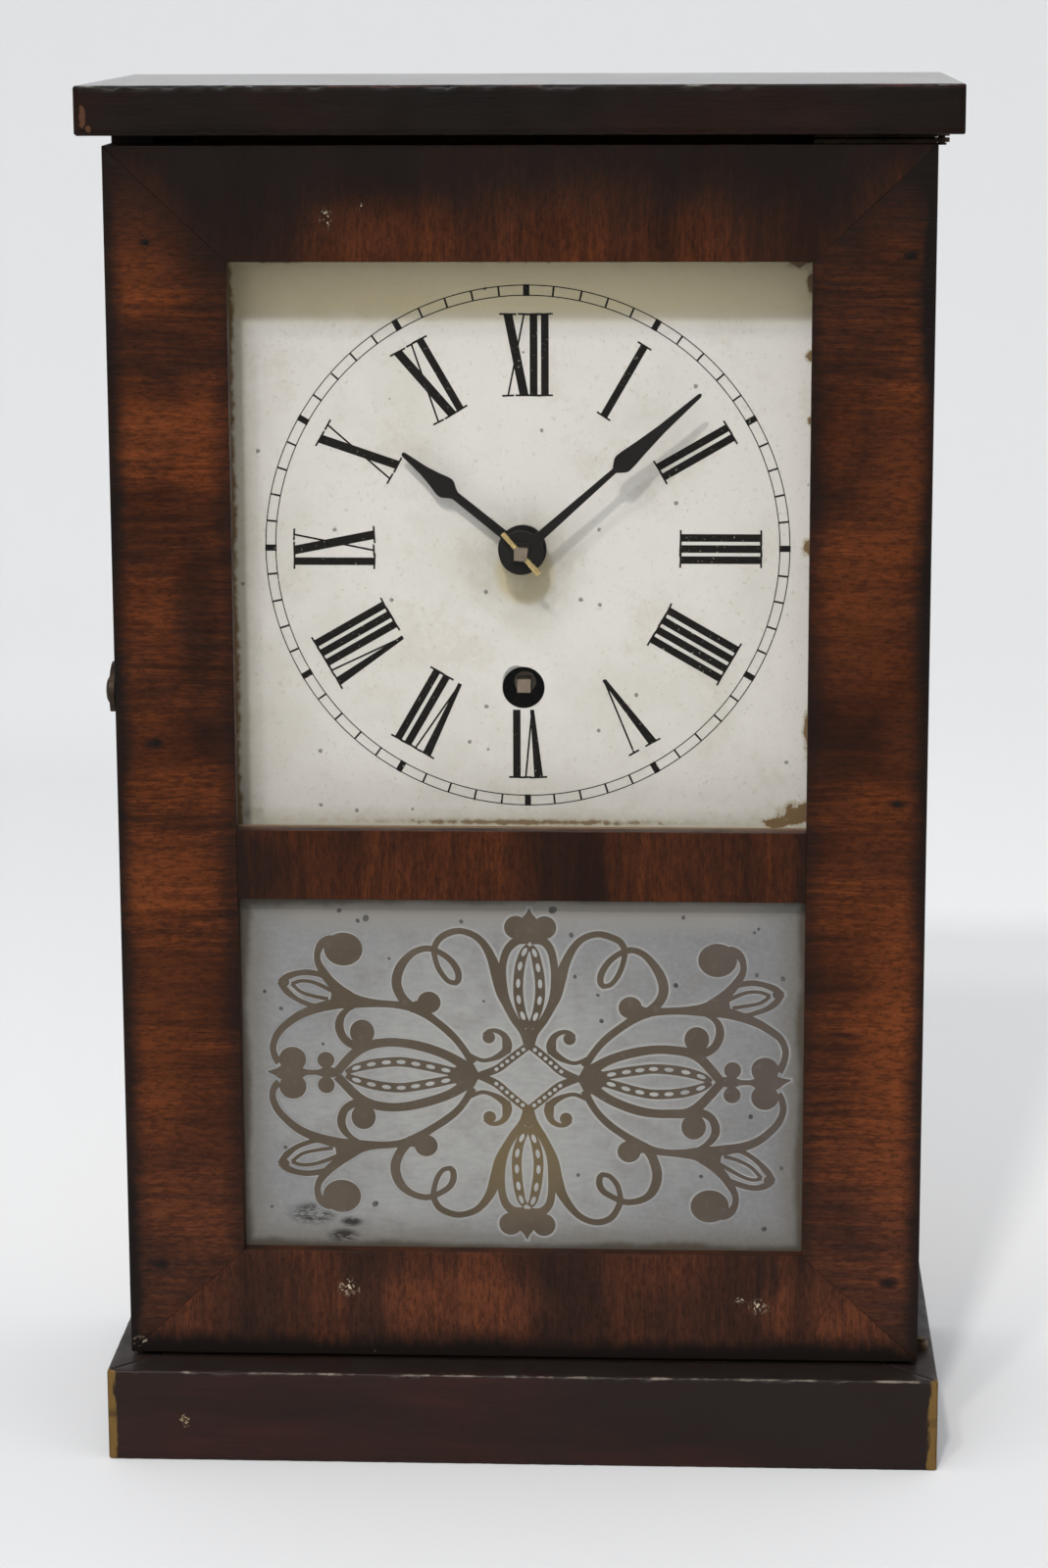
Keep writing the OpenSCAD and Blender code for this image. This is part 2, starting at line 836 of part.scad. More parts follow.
catch_z = plinth_h + catch_h;
stud_y = y_door + stud_in;
hook_y = stud_y + hook_l;
x_hook = -case_w / 2 - hook_space;

// A rod along X into the left edge of the case or the door.
module rod_x(y, r, x0, x1) {
    translate([x0, y, catch_z])
        rotate([0, 90, 0])
            cylinder(r = r, h = x1 - x0);
}

// A domed head whose flat side is at x, facing left.
module dome_x(y, x, r, h) {
    translate([x, y, catch_z])
        rotate([0, -90, 0])
            rotate_extrude()
                polygon([[0, 0], [r, 0], [r, h * 0.25], [r * 0.92, h * 0.55],
                         [r * 0.74, h * 0.8], [r * 0.4, h * 0.96], [0, h]]);
}

module hook_screw_shank() {
    rod_x(hook_y, hook_pin_r, -case_w / 2 - hook_t - 2 * hook_space, -case_w / 2 + screw_in);
}

module hook_screw() {
    color(steel) {
        hook_screw_shank();
        rod_x(hook_y, hook_pin_r + hook_rim, -case_w / 2 - hook_space + run, -case_w / 2);
        dome_x(hook_y, -case_w / 2 - hook_t - 2 * hook_space, hook_pin_r + hook_rim, hook_rim);
    }
}

module stud_shank() {
    rod_x(stud_y, stud_r, -case_w / 2 - hook_t - 2 * hook_space, -case_w / 2 + screw_in);
}

module catch_stud() {
    color(brass) {
        stud_shank();
        dome_x(stud_y, -case_w / 2 - hook_t - 2 * hook_space, stud_head_r, stud_head_h);
    }
}

// Hook: its mouth follows the stud's path round the pivot.
module catch_hook() {
    mouth = stud_r + hook_space;
    color(brass)
        plate_x(x_hook - hook_t, x_hook)
            translate([hook_y, catch_z])
                difference() {
                    union() {
                        circle(r = hook_eye_r);
                        translate([-hook_l, -hook_arm_w / 2])
                            square([hook_l, hook_arm_w]);
                        difference() {
                            translate([-hook_l, 0])
                                circle(r = hook_head_r);
                            translate([-hook_l - 2 * hook_head_r, -2 * hook_head_r - hook_arm_w])
                                square([4 * hook_head_r, 2 * hook_head_r]);
                        }
                    }
                    circle(r = hook_pin_r + run);
                    translate([-hook_l, 0])
                        circle(r = mouth);
                    difference() {
                        circle(r = hook_l + mouth);
                        circle(r = hook_l - mouth);
                        translate([-2 * hook_l, 0])
                            square([4 * hook_l, 2 * hook_l]);
                    }
                }
}

// Door

// Stile's core with its rebates, mortises and the lower hinge's recess.
module stile() {
    difference() {
        box([opening_half, y_core, door_z], [case_w / 2, y_door_back, door_z + door_h]);
        for (z = [[tablet_z, tablet_h], [opening_z, opening_h]])
            box([opening_half - cut, y_glass, z[0] - rebate_w],
                [opening_half + rebate_w, y_door_back + cut, z[0] + z[1] + rebate_w]);
        for (z = [[door_z, rail_foot_h], [rail_mid_z, rail_mid_h], [rail_top_z, rail_top_h]])
            tenon(z[0], z[1]);
    }
}

// Tenon of a rail in the right stile.
module tenon(z, h) {
    shoulder = rebate_w + 1;
    low = z == door_z ? shoulder : rebate_w;
    high = z == rail_top_z ? shoulder : rebate_w;
    y_mid = (y_core + y_door_back) / 2;
    box([opening_half, y_mid - tenon_t / 2, z + low],
        [opening_half + tenon_l, y_mid + tenon_t / 2, z + h - high]);
}

// Rail between the stiles, rebated along its low or high edge, with its two tenons.
module rail(z, h, low, high) {
    difference() {
        box([-opening_half, y_core, z], [opening_half, y_door_back, z + h]);
        if (low)
            box([-opening_half - cut, y_glass, z - cut],
                [opening_half + cut, y_door_back + cut, z + rebate_w]);
        if (high)
            box([-opening_half - cut, y_glass, z + h - rebate_w],
                [opening_half + cut, y_door_back + cut, z + h + cut]);
    }
    tenon(z, h);
    mirror([1, 0, 0])
        tenon(z, h);
}

module stile_left() {
    color(wood)
        difference() {
            mirror([1, 0, 0])
                stile();
            stud_shank();
        }
}

// Recess of the lower hinge's leaf in the door's lower end.
module leaf_recess() {
    translate([0, 0, door_z - cut])
        linear_extrude(leaf_t + cut)
            leaf_outline();
}

module stile_right() {
    color(wood)
        difference() {
            stile();
            leaf_recess();
        }
}

module rail_top() {
    color(wood)
        rail(rail_top_z, rail_top_h, true, false);
}

module rail_middle() {
    color(wood)
        rail(rail_mid_z, rail_mid_h, true, true);
}

module rail_bottom() {
    color(wood)
        difference() {
            rail(door_z, rail_foot_h, false, true);
            leaf_recess();
        }
}

// Veneer pieces of the door's face, mitred from corner to corner.
module veneer_side() {
    plate_y(y_door, y_core)
        polygon([[case_w / 2, door_z], [case_w / 2, door_z + door_h],
                 [opening_half, rail_top_z], [opening_half, tablet_z]]);
}

module veneer_left() {
    color(wood)
        mirror([1, 0, 0])
            veneer_side();
}

module veneer_right() {
    color(wood)
        veneer_side();
}

module veneer_top() {
    color(wood)
        plate_y(y_door, y_core)
            polygon([[-case_w / 2, door_z + door_h], [-opening_half, rail_top_z],
                     [opening_half, rail_top_z], [case_w / 2, door_z + door_h]]);
}

module veneer_middle() {
    color(wood)
        box([-opening_half, y_door, rail_mid_z], [opening_half, y_core, opening_z]);
}

module veneer_bottom() {
    color(wood)
        plate_y(y_door, y_core)
            polygon([[-case_w / 2, door_z], [case_w / 2, door_z],
                     [opening_half, tablet_z], [-opening_half, tablet_z]]);
}

module pane(z, h) {
    lap = rebate_w - glass_play;
    box([-opening_half - lap, y_glass, z - lap], [opening_half + lap, y_bead, z + h + lap]);
}

module dial_glass() {
    color(glass_clear)
        pane(opening_z, opening_h);
}

module tablet_glass() {
    color(glass_frost)
        pane(tablet_z, tablet_h);
}

// Four mitred strips behind a pane, in its rebate.
module beads(z, h) {
    half = [opening_half + rebate_w, h / 2 + rebate_w];
    plate_y(y_bead, y_bead + bead_d)
        translate([0, z + h / 2])
            for (k = [0, 1], turn = [0, 180])
                rotate(90 * k + turn)
                    bead_face(half[k], half[1 - k]);
}

// Face of one strip whose outer edge is 2 * l long and lies at the distance d from the middle.
module bead_face(l, d) {
    polygon([[-l + mitre_gap, d], [l - mitre_gap, d],
             [l - bead_w - mitre_gap, d - bead_w], [-l + bead_w + mitre_gap, d - bead_w]]);
}

module glazing_beads_upper() {
    color(pine)
        beads(opening_z, opening_h);
}

module glazing_beads_lower() {
    color(pine)
        beads(tablet_z, tablet_h);
}

// Wheels and pinions

// Centre of a trundle as a pinion of radius r rolls round a wheel of radius big by f degrees.
function epicycloid(big, r, f) =
    let (a = f * r / big)
        [(big + r) * cos(a) - r * cos(a + f), (big + r) * sin(a) - r * sin(a + f)];

// Point of a tooth's flank: the trundle's path, set back by the trundle's radius t.
function flank(big, r, t, f) =
    let (a = f * r / big, p = epicycloid(big, r, f), d = polar(big, a) - p)
        p + t * d / norm(d);

// Largest roll whose flank point still leaves a land on the tooth's tip.
function tip_roll(big, r, t, n, f = 10) =
    let (p = flank(big, r, t, f + 1))
        f >= 60 || atan2(p[1], p[0]) > 180 / n * 0.86 ? f : tip_roll(big, r, t, n, f + 1);

function mirrored(p, mid) = polar(norm(p), 2 * mid - atan2(p[1], p[0]));

// Outline of a wheel of n teeth for trundles of radius trundle; a gap faces angle 0.
function teeth(n, big, r, trundle) =
    let (t = trundle + mesh_gap,
         last = tip_roll(big, r, t, n),
         side = concat([[big, t]], [for (k = [0.4, 0.7, 1]) flank(big, r, t, k * last)]),
         tooth = concat([[big - 1.2 * t, -0.75 * t], [big - 1.2 * t, 0.75 * t]], side,
                        [for (i = [3:-1:0]) mirrored(side[i], 180 / n)]))
        [for (i = [0:n - 1], p = tooth)
            polar(norm(p), atan2(p[1], p[0]) + i * 360 / n)];

// Flat wheel with crossed-out arms, as seen from the front.
module crossed(outline, rim_r, hub_r, arms, w) {
    difference() {
        polygon(outline);
        difference() {
            circle(r = rim_r);
            circle(r = hub_r);
            for (i = [0:arms - 1])
                rotate(i * 360 / arms)
                    translate([0, -w / 2])
                        square([rim_r + cut, w]);
        }
    }
}

module gear(at, y, t, n, big, r, trundle, turn, hub_r, bore_r, arms) {
    plate_y(y, y + t)
        translate(at)
            rotate(turn)
                difference() {
                    crossed(teeth(n, big, r, trundle), big - rim_w - trundle, hub_r, arms, arm_w);
                    circle(r = bore_r);
                }
}

// Lantern pinion: trundles between two shrouds, round a core.
module lantern(at, n, r, trundle, turn, y0, y1, core_r) {
    shroud_r = r + trundle + shroud_lip;
    rod_y(at, shroud_r, y0 - shroud_t, y0);
    rod_y(at, shroud_r, y1, y1 + shroud_t);
    if (core_r > 0)
        rod_y(at, core_r, y0, y1);
    plate_y(y0, y1)
        translate(at)
            for (i = [0:n - 1])
                translate(polar(r, turn + i * 360 / n))
                    circle(r = trundle, $fn = 12);
}

// Arbor of the train with its two pivots, in two lengths before and behind its lantern pinion.
pinion_over = 0.9;

module train_arbor(at, y0, y1) {
    rod_y(at, pivot_r, y_front_plate - pivot_out, y_train + shake);
    rod_y(at, arbor_r, y_train + shake, y0 - shroud_t);
    rod_y(at, arbor_r, y1 + shroud_t, y_back_plate - shake);
    rod_y(at, pivot_r, y_back_plate - shake, y_cleat + pivot_out);
}

module centre_arbor() {
    y0 = y_great - shroud_gap;
    y1 = y_great + great_t + shroud_gap;
    color(steel)
        difference() {
            union() {
                rod_y(centre, centre_r, y_minute_hand, y0 - shroud_t);
                plate_y(y_arbor_end, y_minute_hand)
                    translate(centre)
                        rotate(45 - minute_angle)
                            square(end_square, center = true);
                lantern(centre, centre_pin_n, centre_pin_pr, great_trundle_r, -90, y0, y1, centre_r);
                rod_y(centre, centre_r, y1 + shroud_t, y_back_plate - shake);
                rod_y(centre, pivot_r, y_back_plate - shake, y_cleat + pivot_out);
            }
            taper();
        }
}

module centre_wheel() {
    color(brass) {
        gear(centre, y_centre_wheel, wheel_t, centre_n, centre_pr, third_pin_pr, train_trundle_r,
             centre_third, 4, centre_r, 5);
        difference() {
            rod_y(centre, 2 * centre_r, y_centre_wheel - centre_r, y_centre_wheel);
            rod_y(centre, centre_r, y_centre_wheel - 2 * centre_r, y_centre_wheel + cut);
        }
    }
}

module cannon_pinion() {
    y0 = y_minute_wheel - shroud_gap;
    y1 = y_minute_wheel + motion_t + shroud_gap;
    color(brass)
        difference() {
            union() {
                lantern(centre, cannon_n, cannon_pr, motion_trundle_r, 0, y0, y1, 0);
                rod_y(centre, cannon_r, y_minute_hand, y1 + shroud_t);
            }
            rod_y(centre, centre_r, y_minute_hand - cut, y1 + shroud_t + cut);
        }
}

// Points of one side of a hand with a teardrop point: [half width, distance] pairs.
function hand_side(l, stem, neck, bulb_r, bulb_at, bulb_w, tip) =
    [[stem, 0], [neck, bulb_r], [bulb_w * 0.62, bulb_r + (bulb_at - bulb_r) * 0.35],
     [bulb_w * 0.93, bulb_r + (bulb_at - bulb_r) * 0.72], [bulb_w, bulb_at],
     [bulb_w * 0.94, bulb_at + (l - bulb_at) * 0.08], [bulb_w * 0.72, bulb_at + (l - bulb_at) * 0.24],
     [bulb_w * 0.45, bulb_at + (l - bulb_at) * 0.5], [tip, l * 0.99], [tip * 0.4, l]];

module hand(side, boss_r, bore_r, angle) {
    last = len(side) - 1;
    rotate(-angle)
        difference() {
            union() {
                polygon(concat(side, [for (i = [last:-1:0]) [-side[i][0], side[i][1]]]));
                circle(r = boss_r);
            }
            circle(r = bore_r);
        }
}

module minute_hand() {
    side = hand_side(minute_l, 1.15, 0.6, minute_l * 0.52, minute_l * 0.568,
                     minute_bulb_w, 0.45);
    color(black) {
        plate_y(y_minute_hand, y_minute_hand + hand_t)
            translate(centre)
                hand(side, minute_boss_r, cannon_r, minute_angle);
        plate_y(y_taper + taper_r, y_minute_hand)
            translate(centre)
                difference() {
                    rotate(45 - minute_angle)
                        square(end_square + 2 * collet_wall, center = true);
                    rotate(45 - minute_angle)
                        square(end_square, center = true);
                }
    }
}

// Taper pin across the arbor's end, square to the minute hand.
module taper() {
    translate([centre[0], y_taper, centre[1]])
        rotate([0, 90 + minute_angle, 0])
            translate([0, 0, -taper_l / 2])
                cylinder(r1 = taper_r * 0.75, r2 = taper_r, h = taper_l);
}

module taper_pin() {
    color(brass)
        taper();
}

module hour_wheel() {
    color(brass)
        difference() {
            union() {
                gear(centre, y_hour_wheel, motion_t, hour_n, hour_pr, minute_pin_pr,
                     motion_trundle_r, 0, 4, hour_bore_r, 4);
                rod_y(centre, hour_pipe_r, y_hour_hand - hand_t, y_hour_wheel);
            }
            rod_y(centre, hour_bore_r, y_hour_hand - hand_t - cut, y_hour_wheel + cut);
        }
}

module hour_hand() {
    side = hand_side(hour_l, 1.05, 0.95, hour_l * 0.56, hour_l * 0.644,
                     hour_bulb_w, 0.5);
    color(black)
        plate_y(y_hour_hand, y_hour_hand + hand_t)
            translate(centre)
                hand(side, hour_boss_r, hour_pipe_r, hour_angle);
}

module minute_wheel() {
    y0 = y_hour_wheel - shroud_gap;
    y1 = y_hour_wheel + motion_t + shroud_gap;
    shroud_r = minute_pin_pr + motion_trundle_r + shroud_lip;
    color(brass)
        difference() {
            union() {
                gear(stud_at, y_minute_wheel, motion_t, minute_n, minute_pr, cannon_pr,
                     motion_trundle_r, 180, 3, motion_stud_r + run, 4);
                rod_y(stud_at, shroud_r, y0 - shroud_lip, y0);
                rod_y(stud_at, shroud_r, y1, y1 + shroud_t);
                rod_y(stud_at, motion_stud_r + shroud_t, y0, y_front_plate - shake);
                plate_y(y0, y1)
                    translate(stud_at)
                        for (i = [0:minute_pin_n - 1])
                            translate(polar(minute_pin_pr, 180 + i * 360 / minute_pin_n))
                                circle(r = motion_trundle_r, $fn = 12);
            }
            rod_y(stud_at, motion_stud_r + run, y0 - cut, y_front_plate + cut);
        }
}

// Great wheel with the stud that the click turns on.
great_arms = 5;
click_a = 90 - 360 / great_arms;
ratchet_root_r = ratchet_r - ratchet_depth;
click_tip_a = click_a - acos(ratchet_root_r / click_l) - 3;
click_stud_r = 0.9;
click_eye_r = 2.4;

module great_wheel() {
    color(brass) {
        gear(winding, y_great, great_t, great_n, great_pr, centre_pin_pr, great_trundle_r,
             90, 2.5 * winding_r, winding_r + run, great_arms);
        difference() {
            rod_y(winding, 2 * winding_r, y_great + great_t, y_great + great_t + 3 * wheel_gap);
            rod_y(winding, winding_r + run, y_great, y_great + great_t + cut);
        }
        translate([winding[0], 0, winding[1]])
            rod_y(polar(click_l, click_a), click_stud_r, y_ratchet - pivot_out, y_great);
        plate_y(y_great, y_great + great_t)
            translate(winding)
                translate(polar(click_l, click_a))
                    circle(r = click_eye_r + 3 * wheel_gap);
    }
}

// Click: an eye on its stud and a beak whose tip rests in a ratchet tooth.
module click() {
    pivot = polar(click_l, click_a);
    play = 1.2;
    aim = bearing(pivot, polar(ratchet_r + 1, click_tip_a + 7));
    color(steel)
        plate_y(y_ratchet, y_ratchet + ratchet_t)
            translate(winding)
                difference() {
                    union() {
                        translate(pivot)
                            circle(r = click_eye_r);
                        polygon([polar(ratchet_r, click_tip_a + play),
                                 polar(ratchet_r + 2, click_tip_a + play + 5),
                                 pivot + polar(click_eye_r * 0.96, aim + 124),
                                 pivot + polar(click_eye_r * 0.96, aim - 124),
                                 polar(ratchet_r + 0.6, click_tip_a + play + 8),
                                 polar(ratchet_root_r + 0.3, click_tip_a + play)]);
                    }
                    translate(pivot)
                        circle(r = click_stud_r + run);
                }
}

module winding_arbor() {
    color(steel) {
        plate_y(y_dial_back + winding_square / 2, y_front_plate - 2 * pivot_out)
            translate(winding)
                square(winding_square, center = true);
        rod_y(winding, winding_r, y_front_plate - 2 * pivot_out, y_cleat + pivot_out);
    }
}

module ratchet_wheel() {
    color(steel)
        plate_y(y_ratchet, y_ratchet + ratchet_t)
            translate(winding)
                difference() {
                    polygon([for (i = [0:ratchet_n - 1], k = [0, 1])
                        polar(k == 0 ? ratchet_r : ratchet_root_r,
                              click_tip_a + i * 360 / ratchet_n)]);
                    circle(r = winding_r);
                }
}

module third_wheel() {
    y0 = y_centre_wheel - pinion_over;
    y1 = y_centre_wheel + wheel_t + pinion_over;
    color(brass) {
        gear(third, y_third_wheel, wheel_t, third_n, third_pr, escape_pin_pr, train_trundle_r,
             third_escape, 3.3 * arbor_r, arbor_r / 2, 4);
        train_arbor(third, y0, y1);
        lantern(third, third_pin_n, third_pin_pr, train_trundle_r, centre_third + 180, y0, y1,
                third_pin_pr * 0.42);
    }
}

module escape_wheel() {
    y0 = y_third_wheel - pinion_over;
    y1 = y_third_wheel + wheel_t + pinion_over;
    step = 360 / escape_n;
    root_r = escape_r - escape_tooth;
    outline = [for (i = [0:escape_n - 1], p = [[root_r, 0], [escape_r, step * 0.55],
                                               [escape_r, step * 0.62], [root_r, step * 0.7]])
        polar(p[0], p[1] + i * step)];
    color(brass) {
        plate_y(y_escape_wheel, y_escape_wheel + wheel_t)
            translate(escape)
                crossed(outline, root_r - arm_w * 0.75, 2.5 * arbor_r, 4, arm_w * 0.75);
        train_arbor(escape, y0, y1);
        lantern(escape, escape_pin_n, escape_pin_pr, train_trundle_r, third_escape + 180, y0, y1,
                escape_pin_pr / 3);
    }
}

// Verge: its arbor, the bent pallets over the escape wheel and the crutch behind the back plate.
module verge() {
    y_crutch = y_cleat + cock_t;
    loop = wire_r + crutch_gap;
    tip = [sin(pallet_a), cos(pallet_a)] * (escape_r + pallet_gap) - [0, verge_rise];
    side = [[0, verge_t * 1.3], [tip[0] * 0.73, verge_t * 0.65], tip + verge_t * [0.7, 0.47], tip,
            [tip[0] * 0.66, -verge_t * 0.35], [0, -verge_t * 0.25]];
    color(steel) {
        rod_y(verge_at, pivot_r, y_front_plate - pivot_out, y_train + shake);
        rod_y(verge_at, arbor_r, y_train + shake, y_crutch + crutch_t + shake);
        plate_y(y_escape_wheel - pinion_over, y_escape_wheel + wheel_t + pinion_over)
            translate(verge_at)
                polygon(concat([for (p = side) [-p[0], p[1]]], [for (i = [4:-1:1]) side[i]]));
        plate_y(y_crutch, y_crutch + crutch_t)
            translate(verge_at) {
                circle(r = arbor_r + crutch_t);
                translate([-crutch_t / 2, -crutch_l])
                    square([crutch_t, crutch_l]);
            }
        translate([0, 0, verge_at[1] - crutch_l - crutch_t])
            difference() {
                box([-loop - crutch_t, y_crutch, 0],
                    [loop + crutch_t, y_pendulum + 2 * loop + crutch_t, crutch_t]);
                box([-loop, y_pendulum - 2 * loop, -cut],
                    [loop, y_pendulum + 2 * loop, crutch_t + cut]);
            }
    }
}

// Pendulum

bob_z = verge_at[1] - pendulum_l;

module suspension_spring() {
    color(steel)
        difference() {
            union() {
                rod_y(verge_at, 2 * pin_r, y_pendulum - spring_half, y_pendulum + spring_half);
                box([-ribbon_t / 2, y_pendulum - spring_half, verge_at[1] - suspension_l - ferrule_l],
                    [ribbon_t / 2, y_pendulum + spring_half, verge_at[1]]);
            }
            rod_y(verge_at, pin_r + run, y_pendulum - 2 * spring_half, y_pendulum + 2 * spring_half);
        }
}

module pendulum_rod() {
    top = verge_at[1] - suspension_l;
    foot = bob_z - bob_r - rating_h - thread_l;
    color(brass)
        difference() {
            translate([0, y_pendulum, 0]) {
                translate([0, 0, top - ferrule_l])
                    cylinder(r = 2 * wire_r, h = ferrule_l);
                translate([0, 0, foot])
                    cylinder(r = wire_r, h = top - ferrule_l - foot);
            }
            box([-ribbon_t / 2, y_pendulum - spring_half, top - ferrule_l],
                [ribbon_t / 2, y_pendulum + spring_half, top + cut]);
        }
}

// Bob: a lens turned about the front-to-back axis, drilled for the wire.
module pendulum_bob() {
    half = bob_t / 2;
    color(brass)
        difference() {
            translate([0, y_pendulum, bob_z])
                rotate([-90, 0, 0])
                    rotate_extrude($fn = 64)
                        polygon([[0, -half], [bob_r * 0.4, -half * 0.92], [bob_r * 0.7, -half * 0.7],
                                 [bob_r * 0.9, -half * 0.42], [bob_r, -half * 0.2],
                                 [bob_r, half * 0.2], [bob_r * 0.9, half * 0.42],
                                 [bob_r * 0.7, half * 0.7], [bob_r * 0.4, half * 0.92], [0, half]]);
            translate([0, y_pendulum, bob_z - bob_r - cut])
                cylinder(r = wire_r + run, h = 2 * (bob_r + cut));
        }
}

module rating_nut() {
    color(brass)
        translate([0, y_pendulum, bob_z - bob_r - rating_h])
            difference() {
                cylinder(r = rating_r, h = rating_h);
                translate([0, 0, -cut])
                    cylinder(r = wire_r + run, h = rating_h + 2 * cut);
            }
}

plinth_front();
plinth_side_left();
plinth_side_right();
base_board();
cornice_board();
cornice_veneer();
side_left();
side_right();
backboard();
dial_strips();
dial();
movement_cleats();
movement_screws();
front_plate();
back_plate();
pillars();
pillar_nuts();
minute_stud();
suspension_cock();
mainspring();
hinge_plate_top();
hinge_plate_bottom();
hook_screw();
stile_left();
stile_right();
rail_top();
rail_middle();
rail_bottom();
veneer_left();
veneer_right();
veneer_top();
veneer_middle();
veneer_bottom();
dial_glass();
tablet_glass();
glazing_beads_upper();
glazing_beads_lower();
hinge_leaf_top();
hinge_leaf_bottom();
catch_stud();
catch_hook();
centre_arbor();
centre_wheel();
cannon_pinion();
minute_hand();
taper_pin();
hour_wheel();
hour_hand();
minute_wheel();
great_wheel();
click();
winding_arbor();
ratchet_wheel();
third_wheel();
escape_wheel();
verge();
suspension_spring();
pendulum_rod();
pendulum_bob();
rating_nut();
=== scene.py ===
"""Cottage clock: finishes, worn boards, dial, tablet ornament, fixings and studio for the packed frame."""
import math

import bmesh
import bpy
from bpy.props import FloatProperty, FloatVectorProperty, IntProperty, PointerProperty
from mathutils import Matrix, Vector, noise


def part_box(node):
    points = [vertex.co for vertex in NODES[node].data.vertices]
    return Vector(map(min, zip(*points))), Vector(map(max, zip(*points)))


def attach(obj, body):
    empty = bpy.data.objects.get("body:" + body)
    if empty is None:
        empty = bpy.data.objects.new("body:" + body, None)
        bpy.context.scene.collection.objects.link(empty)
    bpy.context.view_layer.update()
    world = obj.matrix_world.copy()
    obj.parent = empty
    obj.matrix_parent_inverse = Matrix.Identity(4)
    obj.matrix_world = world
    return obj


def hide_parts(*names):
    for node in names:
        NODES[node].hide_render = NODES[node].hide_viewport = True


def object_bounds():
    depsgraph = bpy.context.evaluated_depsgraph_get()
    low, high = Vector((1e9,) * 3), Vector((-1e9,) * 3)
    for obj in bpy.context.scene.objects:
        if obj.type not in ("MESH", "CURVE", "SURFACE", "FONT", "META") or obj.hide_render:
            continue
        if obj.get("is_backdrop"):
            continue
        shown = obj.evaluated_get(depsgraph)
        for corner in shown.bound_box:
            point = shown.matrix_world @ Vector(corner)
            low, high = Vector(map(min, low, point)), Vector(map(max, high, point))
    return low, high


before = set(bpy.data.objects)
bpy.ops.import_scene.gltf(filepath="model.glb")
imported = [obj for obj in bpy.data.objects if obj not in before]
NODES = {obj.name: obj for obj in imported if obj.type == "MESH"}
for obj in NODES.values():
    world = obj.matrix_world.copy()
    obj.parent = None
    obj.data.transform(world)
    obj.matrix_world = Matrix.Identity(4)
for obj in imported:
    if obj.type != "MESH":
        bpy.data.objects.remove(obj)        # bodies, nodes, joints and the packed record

bl_info = {
    "name": "Cottage Clock",
    "version": (1, 0, 0),
    "blender": (4, 5, 0),
    "location": "View3D > Sidebar > Clock",
    "description": "Finishes, worn boards, dial and ornament of a cottage clock",
    "category": "Object",
}

MM = 0.001
BRASS_TARNISH = (0.20, 0.12, 0.045)

# Grid of the worn boards and of the veneers, and the radius of the veneers' edges
BOARD_STEP = 0.0012
VENEER_STEP = 0.002
VENEER_ARRIS = 0.00018
# Noise that eats into worn edges: waves per metre, the part that stays whole, and how deep it goes
WEAR_WAVES = 330
WEAR_FREE = 0.05
WEAR_DEPTH = 3.0
# The minute track's circles are polygons of this many sides
TRACK_SIDES = 240
# How far brads and nails stand out, as the distance of their middles from the wood's face
BRAD_SUNK = 0.00006
NAIL_SUNK = 0.00008
# The floor's front edge, the same edge for all rays but the camera's, its half width, and the bend
# behind the clock
FLOOR_FRONT = -1.3
FLOOR_CLEAR = -0.5
FLOOR_HALF = 2.2
BEND_START = 1.05
BEND_RADIUS = 0.5
BACKDROP_TOP = 2.2
# What the lamps aim at, and the distance of the two front ones
LAMP_TARGET = Vector((0, 0, 0.16))
LAMP_AWAY = 1.7


# Places taken from the frame

def span(node):
    """Low and high corner of a CAD node, in metres."""
    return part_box(node)


CORNICE_LOW, CORNICE_HIGH = Vector(span("cornice_veneer")[0]), Vector(span("cornice_board")[1])
DOOR_LOW, DOOR_HIGH = Vector(span("veneer_bottom")[0]), Vector(span("veneer_top")[1])
PLINTH_LOW, PLINTH_HIGH = Vector(span("plinth_front")[0]), Vector(span("plinth_front")[1])
RAIL_LOW, RAIL_HIGH = Vector(span("veneer_middle")[0]), Vector(span("veneer_middle")[1])
OPENING_HALF = RAIL_HIGH.x
TABLET_LOW_Z = span("veneer_bottom")[1].z
DIAL_TOP_Z = span("veneer_top")[0].z
FACE_Y = DOOR_LOW.y
GLASS_Y = span("tablet_glass")[0].y
DIAL_Y = span("dial")[0].y
DIAL_CENTRE = Vector((0, DIAL_Y, (span("dial")[0].z + span("dial")[1].z) / 2))
TABLET_CENTRE = Vector((0, GLASS_Y, (TABLET_LOW_Z + RAIL_LOW.z) / 2))
CASE_HALF = span("side_right")[1].x
WINDING_Z = (span("winding_arbor")[0].z + span("winding_arbor")[1].z) / 2
BACK_Y = span("side_right")[1].y


# Sizes and colours that a user would change

def colour(name, description, default):
    return FloatVectorProperty(name=name, description=description, default=default, subtype="COLOR", size=3,
                               min=0, max=1)


def length(name, description, default):
    return FloatProperty(name=name, description=description, default=default, unit="LENGTH", min=0,
                         precision=5)


def power(name, description, default):
    return FloatProperty(name=name, description=description, default=default, unit="POWER", min=0)


class ClockWoodSettings(bpy.types.PropertyGroup):
    """Colours and wear of the case."""
    veneer_light: colour("Veneer light", "Mahogany where the polish is thin", (0.158, 0.040, 0.0105))
    veneer_dark: colour("Veneer dark", "Mahogany in the dark of the grain", (0.0165, 0.0055, 0.0028))
    patina: colour("Patina", "Old polish gone nearly black", (0.0092, 0.0060, 0.0048))
    board: colour("Boards", "Stained boards of cornice, plinth and sides", (0.0150, 0.0092, 0.0078))
    bare: colour("Bare wood", "Wood where the stain has rubbed off", (0.30, 0.17, 0.075))
    pine: colour("Pine", "Softwood of back, base and cleats", (0.40, 0.245, 0.115))
    arris: length("Arris", "Radius of the worn edges", 0.00045)
    wear: length("Wear", "Depth of the wear along the edges", 0.00012)


